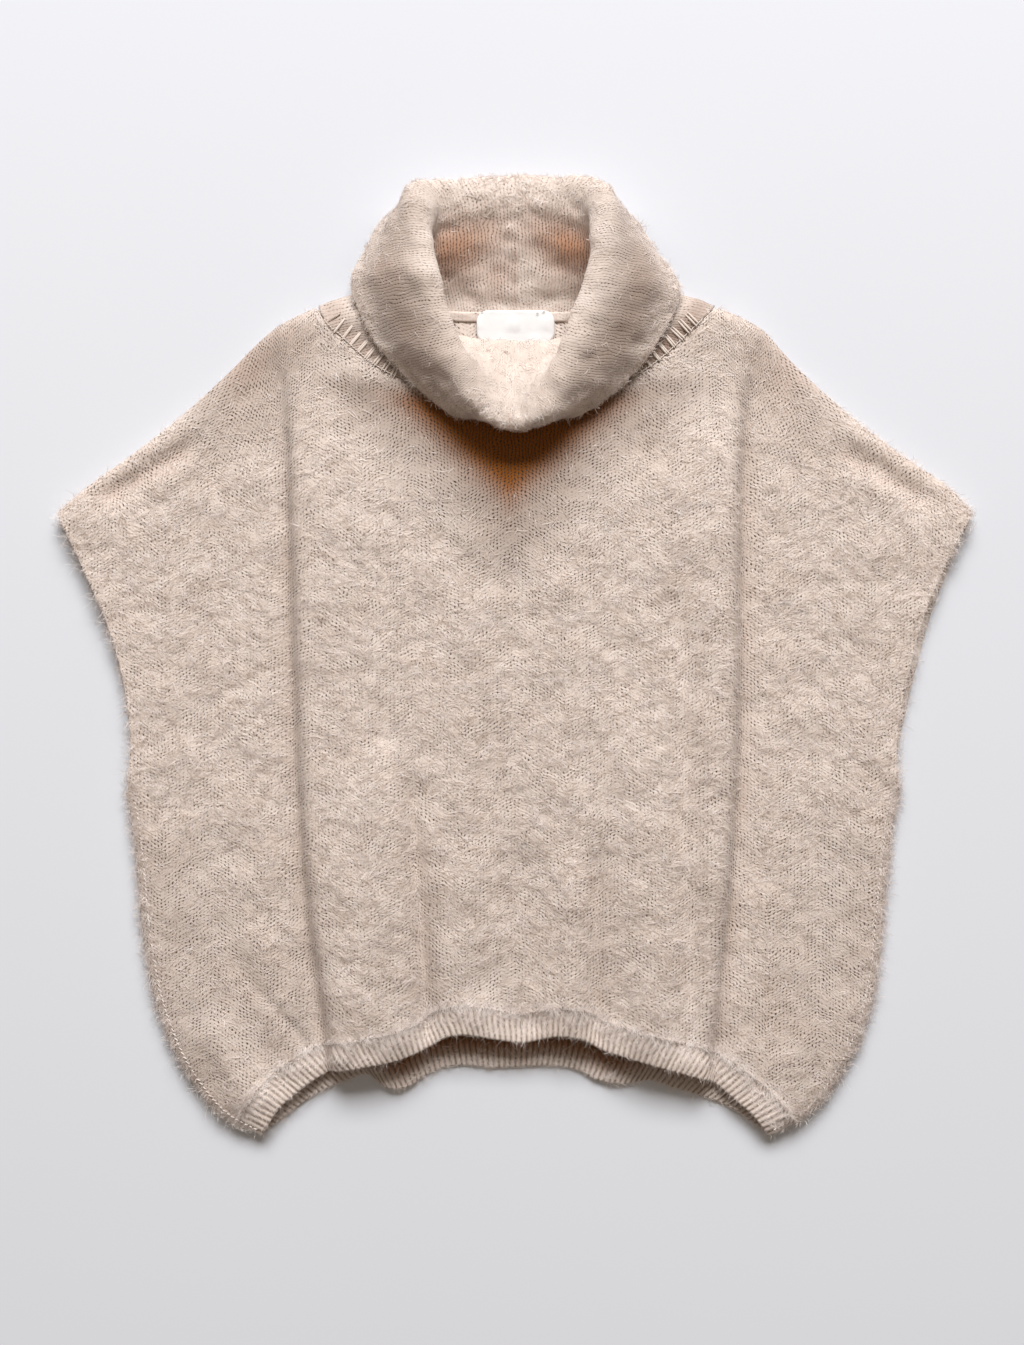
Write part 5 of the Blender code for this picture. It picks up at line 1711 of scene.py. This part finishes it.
def grow_collar_nap(strands):
    """Nap of the collar in three tones, thin on the roll and long and curly on the turned-over part."""
    collar = bpy.data.objects["collar_knit"]
    points = places_of(collar)
    outer = nap_left(collar, 1.0 - upper_side(collar), COLLAR_LOSS)
    rows = collar_row_shares()
    depth = np.tile(np.repeat(rows, COLLAR_AROUND), 2)
    at = np.tile(np.arange(COLLAR_AROUND) / COLLAR_AROUND, 2 * len(rows))
    start, reach = COLLAR_NAP_START
    back_start, back_reach = COLLAR_BACK_START
    back, half_width = COLLAR_BACK_NAP
    back = back * np.exp(-(((at - 0.5) / half_width) ** 2))
    cover = COLLAR_NAP_LEAST + smoothstep((depth - start) / reach)
    cover = cover + back * smoothstep((depth - back_start) / back_reach)
    normal = normals_at(collar)
    round_it = np.cross(normal, UP)
    swirl = unevenness([COLLAR_CURL], points)[:, None]
    lay = np.cos(swirl) * round_it + np.sin(swirl) * np.cross(normal, round_it)
    for k, (tone, share) in enumerate(NAP_TONES):
        nap_on(
            f"collar_nap_{tone}",
            collar,
            outer * cover,
            lay,
            tone,
            int(strands * share * COLLAR_NAP_SHARE),
            COLLAR_SEED + k,
            length=COLLAR_NAP_LENGTH,
        )


def grow_hem_nap(strands):
    """Short nap on both hem bands, and the nap that hangs over the top of the front one."""
    hems = {"front": HEM_FRONT, "back": HEM_BACK}
    for k, (name, side, share, at_edge, at_joint) in enumerate(HEM_NAP):
        band = bpy.data.objects[name]
        points = places_of(band)
        up = smoothstep(distance_to([hems[side]], points[:, 0], points[:, 1]) / BAND_WIDTH)
        cover = upper_side(band) * (at_edge + (at_joint - at_edge) * up)
        tousle, length = HEM_LEAN
        lay = lying(-math.pi / 2 + tousle * waves(points[:, :2], length, HEM_LAY_SEED + k))
        name = name.replace("ribbing", "nap")
        nap_on(name, band, cover, lay, "pale", int(strands * share), HEM_SEED + k, **HEM_NAP_SIZE)
    front = bpy.data.objects["front_knit"]
    points = places_of(front)
    above = distance_to([HEM_FRONT], points[:, 0], points[:, 1]) - BAND_WIDTH
    cover = upper_side(front) * smoothstep(1.0 - above / HEM_FRINGE)
    lay = np.tile((0.0, -1.0, 0.0), (len(points), 1))
    nap_on("front_nap_hem", front, cover, lay, "pale", int(strands * HEM_FRINGE_SHARE), FRINGE_SEED)


def grow_strays():
    """Long stray fibres along the edges of the panels and of the back's hem band."""
    edges = [*ARMHOLES.values(), *SIDE_SEAMS.values(), HEM_BACK, HEM_FRONT]
    for k, (name, strands, inward) in enumerate(STRAYS):
        item = bpy.data.objects[name]
        points = places_of(item)
        near = np.exp(-(distance_to(edges, points[:, 0], points[:, 1]) / inward))
        lay = brushed_lay(points, STRAY_LAY_SEED + k)
        name = f"{name.rsplit('_', 1)[0]}_strays"
        nap_on(name, item, near, lay, "pale", strands, STRAY_SEED + k, **STRAY)


def sew_neck(side):
    """One side of the neck seam in front: a ladder of linking bars and a chain along it."""
    grid = places_of(bpy.data.objects["collar_knit"]).reshape(2, -1, COLLAR_AROUND, 3)[0]
    half = COLLAR_AROUND // 2
    strip = grid[:, 1:half] if side == LEFT else grid[:, half:]
    low, high = LADDER_Y
    strip = strip[:, (strip[0, :, 1] > low) & (strip[0, :, 1] < high)]
    for k, start in enumerate((0.0, LADDER_TWIN)):
        line = smooth(strip[LADDER_ROW] + (0.0, 0.0, LADDER_LIFT))
        line = line[shares_of(line) * steps_of(line).sum() >= start]
        stitches_on("neck_ladder", f"{SIDES[side]}_{k + 1}", line, side)
    stitches_on("neck_chain", SIDES[side], smooth(strip[0] + (0.0, 0.0, CHAIN_LIFT)), side + 2)


def sew_side(side):
    """The chain of stitches that shows beside a side seam."""
    front = bpy.data.objects["front_knit"]
    line = along(SIDE_SEAMS[side], np.linspace(*SIDE_PART)) + (INWARD[side] * SIDE_INSET, 0.0)
    line = with_height(line, height_on(front, *line.T) + SIDE_LIFT)
    stitches_on("side_chain", SIDES[side], line, side + 4)


def sew_label(side):
    """The thread that holds one upper corner of the label."""
    corner = np.array((LABEL_X + LABEL_THREAD_X[side], LABEL_TOP_Y, 0.0))
    stitches_on("label_thread", SIDES[side], corner + LABEL_THREAD, side + 6)


# Panel settings ----------------------------------------------------------------------------------


def colour_setting(name, description, default):
    description = f"{description}, as an sRGB hex value"
    return bpy.props.StringProperty(name=name, description=description, default=default, maxlen=7)


class SweaterColours(bpy.types.PropertyGroup):
    yarn_light: colour_setting("Yarn, light", "Tips of the brushed mohair", "#F0E3DA")
    yarn_mid: colour_setting("Yarn, mid", "Body of the yarn", "#D9C6B8")
    # Dark of the painted shade: in the gaps, the furrows, the valleys between ribs and where the shells
    # carry shade
    yarn_shade: colour_setting("Yarn, gaps", "Shaded gaps between stitches", "#5C3D24")
    # Warm brown of the painted shade: below the collar, in creases, in the collar's corners and under the
    # front hem
    yarn_warm_shade: colour_setting("Yarn, worn", "Warm core of the yarn where its nap is worn off", "#A05C14")
    thread: colour_setting("Thread", "Thread that holds the label's corners", "#6B6258")
    # The three fibre colours are lit, middle and shaded copies of one fibre: painted highlight and painted
    # shade
    fibre_pale: colour_setting("Fibre, pale", "Nap that catches the light", "#F5EAE3")
    fibre_warm: colour_setting("Fibre, warm", "Most of the nap", "#E7D8CD")
    fibre_shaded: colour_setting("Fibre, shaded", "Nap low between the stitches", "#C9B7AA")
    label_light: colour_setting("Label, light", "Satin label, lit threads", "#FFFFFF")
    label_shade: colour_setting("Label, shade", "Satin label, shaded threads", "#F7F6F5")
    floor_light: colour_setting("Floor, light", "Paper sweep", "#E5E7EC")
    floor_shade: colour_setting("Floor, shade", "Clouding of the paper", "#E2E4EA")


class SweaterNap(bpy.types.PropertyGroup):
    strands: bpy.props.IntProperty(
        name="Strands on the front",
        description="How many fibres the front would have of a tone with a share of 1",
        default=46000,
        min=0,
        max=49000,
    )
    length: bpy.props.FloatProperty(
        name="Strand length",
        description="Middle length of a fibre of the nap",
        default=0.0085,
        min=0.001,
        unit="LENGTH",
    )
    width: bpy.props.FloatProperty(
        name="Strand width",
        description="Width of a tuft of fibres drawn as one; real mohair is 0.03 mm, too fine to show",
        default=0.00032,
        min=0.0001,
        unit="LENGTH",
    )
    seed: bpy.props.IntProperty(name="Seed", description="Changes where the fibres grow", default=3)


class SweaterLight(bpy.types.PropertyGroup):
    key_power: bpy.props.FloatProperty(
        name="Key power", description="Large soft light beyond the collar", default=540.0, unit="POWER"
    )
    fill: bpy.props.FloatProperty(
        name="Fill", description="Strength of the even light from all round", default=0.2, min=0.0
    )


# Operators ---------------------------------------------------------------------------------------


def dress(item, node):
    """Sets a finished shell in its solid's place."""
    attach(item, BODY)
    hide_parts(node)


class SWEATER_OT_front(bpy.types.Operator):
    """Knits the front panel, with its two long creases, and its ribbed hem band"""

    bl_idname = "sweater.front"
    bl_label = "Front and its hem band"

    def execute(self, context):
        front, band = build_front(finish("brushed mohair knit"), finish("ribbed mohair knit"))
        dress(front, "front_panel")
        dress(band, "front_hem_rib")
        return {"FINISHED"}


class SWEATER_OT_back(bpy.types.Operator):
    """Knits the back panel, which lies flat under the front, and its ribbed hem band"""

    bl_idname = "sweater.back"
    bl_label = "Back and its hem band"

    def execute(self, context):
        back, band = build_back(finish("brushed mohair knit"), finish("ribbed mohair knit"))
        dress(back, "back_panel")
        dress(band, "back_hem_rib")
        return {"FINISHED"}


class SWEATER_OT_collar(bpy.types.Operator):
    """Knits the deep collar as one tube, folded over outwards"""

    bl_idname = "sweater.collar"
    bl_label = "Collar"

    def execute(self, context):
        dress(build_collar(finish("smooth mohair knit")), "collar")
        return {"FINISHED"}


class SWEATER_OT_neck_trim(bpy.types.Operator):
    """Adds the linking tape over the back neck seam and the blank label that hangs from it"""

    bl_idname = "sweater.neck_trim"
    bl_label = "Neck tape and label"

    def execute(self, context):
        dress(build_tape(finish("linked knit tape")), "neck_tape")
        dress(build_label(finish("woven satin label")), "label")
        return {"FINISHED"}


class SWEATER_OT_front_nap(bpy.types.Operator):
    """Grows the brushed nap of the front in three tones"""

    bl_idname = "sweater.front_nap"
    bl_label = "Nap of the front"

    def execute(self, context):
        grow_front_nap(context.scene.sweater_nap.strands)
        return {"FINISHED"}


class SWEATER_OT_collar_nap(bpy.types.Operator):
    """Grows the collar's nap, thin on the roll and curly on the turned-over part"""

    bl_idname = "sweater.collar_nap"
    bl_label = "Nap of the collar"

    def execute(self, context):
        grow_collar_nap(context.scene.sweater_nap.strands)
        return {"FINISHED"}


class SWEATER_OT_seams(bpy.types.Operator):
    """Sews the neck seam with its ladder of linking bars, the side seams and the label's corners"""

    bl_idname = "sweater.seams"
    bl_label = "Seams"

    def execute(self, context):
        for side in SIDES:
            sew_neck(side)
            sew_side(side)
            sew_label(side)
        return {"FINISHED"}


class SWEATER_OT_edge_fibres(bpy.types.Operator):
    """Grows nap on the hem bands and long stray fibres along the edges"""

    bl_idname = "sweater.edge_fibres"
    bl_label = "Hem nap and stray fibres"

    def execute(self, context):
        grow_hem_nap(context.scene.sweater_nap.strands)
        grow_strays()
        return {"FINISHED"}


class SWEATER_OT_cut(bpy.types.Operator):
    """An empty step: it changes nothing in the scene."""

    bl_idname = "sweater.cut"
    bl_label = "Cut of the cloth"

    def execute(self, context):
        return {"FINISHED"}


def aim(item, place, target):
    item.location = place
    item.rotation_euler = (Vector(target) - Vector(place)).to_track_quat("-Z", "Y").to_euler()


class SWEATER_OT_stage(bpy.types.Operator):
    """Sets the paper sweep, the soft light from beyond the collar and the camera straight above"""

    bl_idname = "sweater.stage"
    bl_label = "Stage, light and camera"

    def execute(self, context):
        light = context.scene.sweater_light
        bpy.ops.mesh.primitive_plane_add(size=FLOOR_SIZE, location=(0.0, 0.0, 0.0))
        floor = context.object
        floor.name = "paper_sweep"
        floor.data.materials.append(finish("matt paper"))

        lamp = bpy.data.lights.new("window_light", "AREA")
        lamp.shape = "RECTANGLE"
        lamp.size, lamp.size_y = KEY_SIZE
        lamp.energy = light.key_power
        lamp.color = KEY_COLOUR
        aim(link("window_light", lamp), KEY_PLACE, KEY_TARGET)

        world = bpy.data.worlds.new("studio_air")
        world.use_nodes = True
        world.node_tree.nodes["Background"].inputs["Color"].default_value = (*FILL_COLOUR, 1.0)
        world.node_tree.nodes["Background"].inputs["Strength"].default_value = light.fill
        context.scene.world = world

        lens = bpy.data.cameras.new("camera")
        lens.lens = CAMERA_LENS
        lens.sensor_width = CAMERA_SENSOR
        lens.clip_end = CAMERA_REACH
        camera = link("camera", lens)
        camera.location = CAMERA_PLACE
        context.scene.camera = camera
        context.scene.view_settings.view_transform = "Standard"
        return {"FINISHED"}


class SWEATER_PT_panel(bpy.types.Panel):
    """Lists the sweater's settings and pieces"""

    bl_idname = "SWEATER_PT_panel"
    bl_label = "Brushed mohair sweater"
    bl_space_type = "VIEW_3D"
    bl_region_type = "UI"
    bl_category = "Sweater"

    def draw(self, context):
        layout = self.layout
        for name in SETTINGS:
            group = getattr(context.scene, name)
            box = layout.box()
            for setting in group.__annotations__:
                box.prop(group, setting)
        for operator in OPERATORS:
            layout.operator(operator.bl_idname)


SETTINGS = {
    "sweater_colours": SweaterColours,
    "sweater_nap": SweaterNap,
    "sweater_light": SweaterLight,
}
OPERATORS = (
    SWEATER_OT_front,
    SWEATER_OT_back,
    SWEATER_OT_collar,
    SWEATER_OT_neck_trim,
    SWEATER_OT_front_nap,
    SWEATER_OT_collar_nap,
    SWEATER_OT_seams,
    SWEATER_OT_edge_fibres,
    SWEATER_OT_cut,
    SWEATER_OT_stage,
)


def register():
    for item in (*SETTINGS.values(), *OPERATORS, SWEATER_PT_panel):
        bpy.utils.register_class(item)
    for name, group in SETTINGS.items():
        setattr(bpy.types.Scene, name, bpy.props.PointerProperty(type=group))


def unregister():
    for name in SETTINGS:
        delattr(bpy.types.Scene, name)
    for item in (SWEATER_PT_panel, *reversed(OPERATORS), *SETTINGS.values()):
        bpy.utils.unregister_class(item)


def main():
    register()
    for operator in OPERATORS:
        group, name = operator.bl_idname.split(".")
        getattr(getattr(bpy.ops, group), name)()


if __name__ == "__main__":
    main()
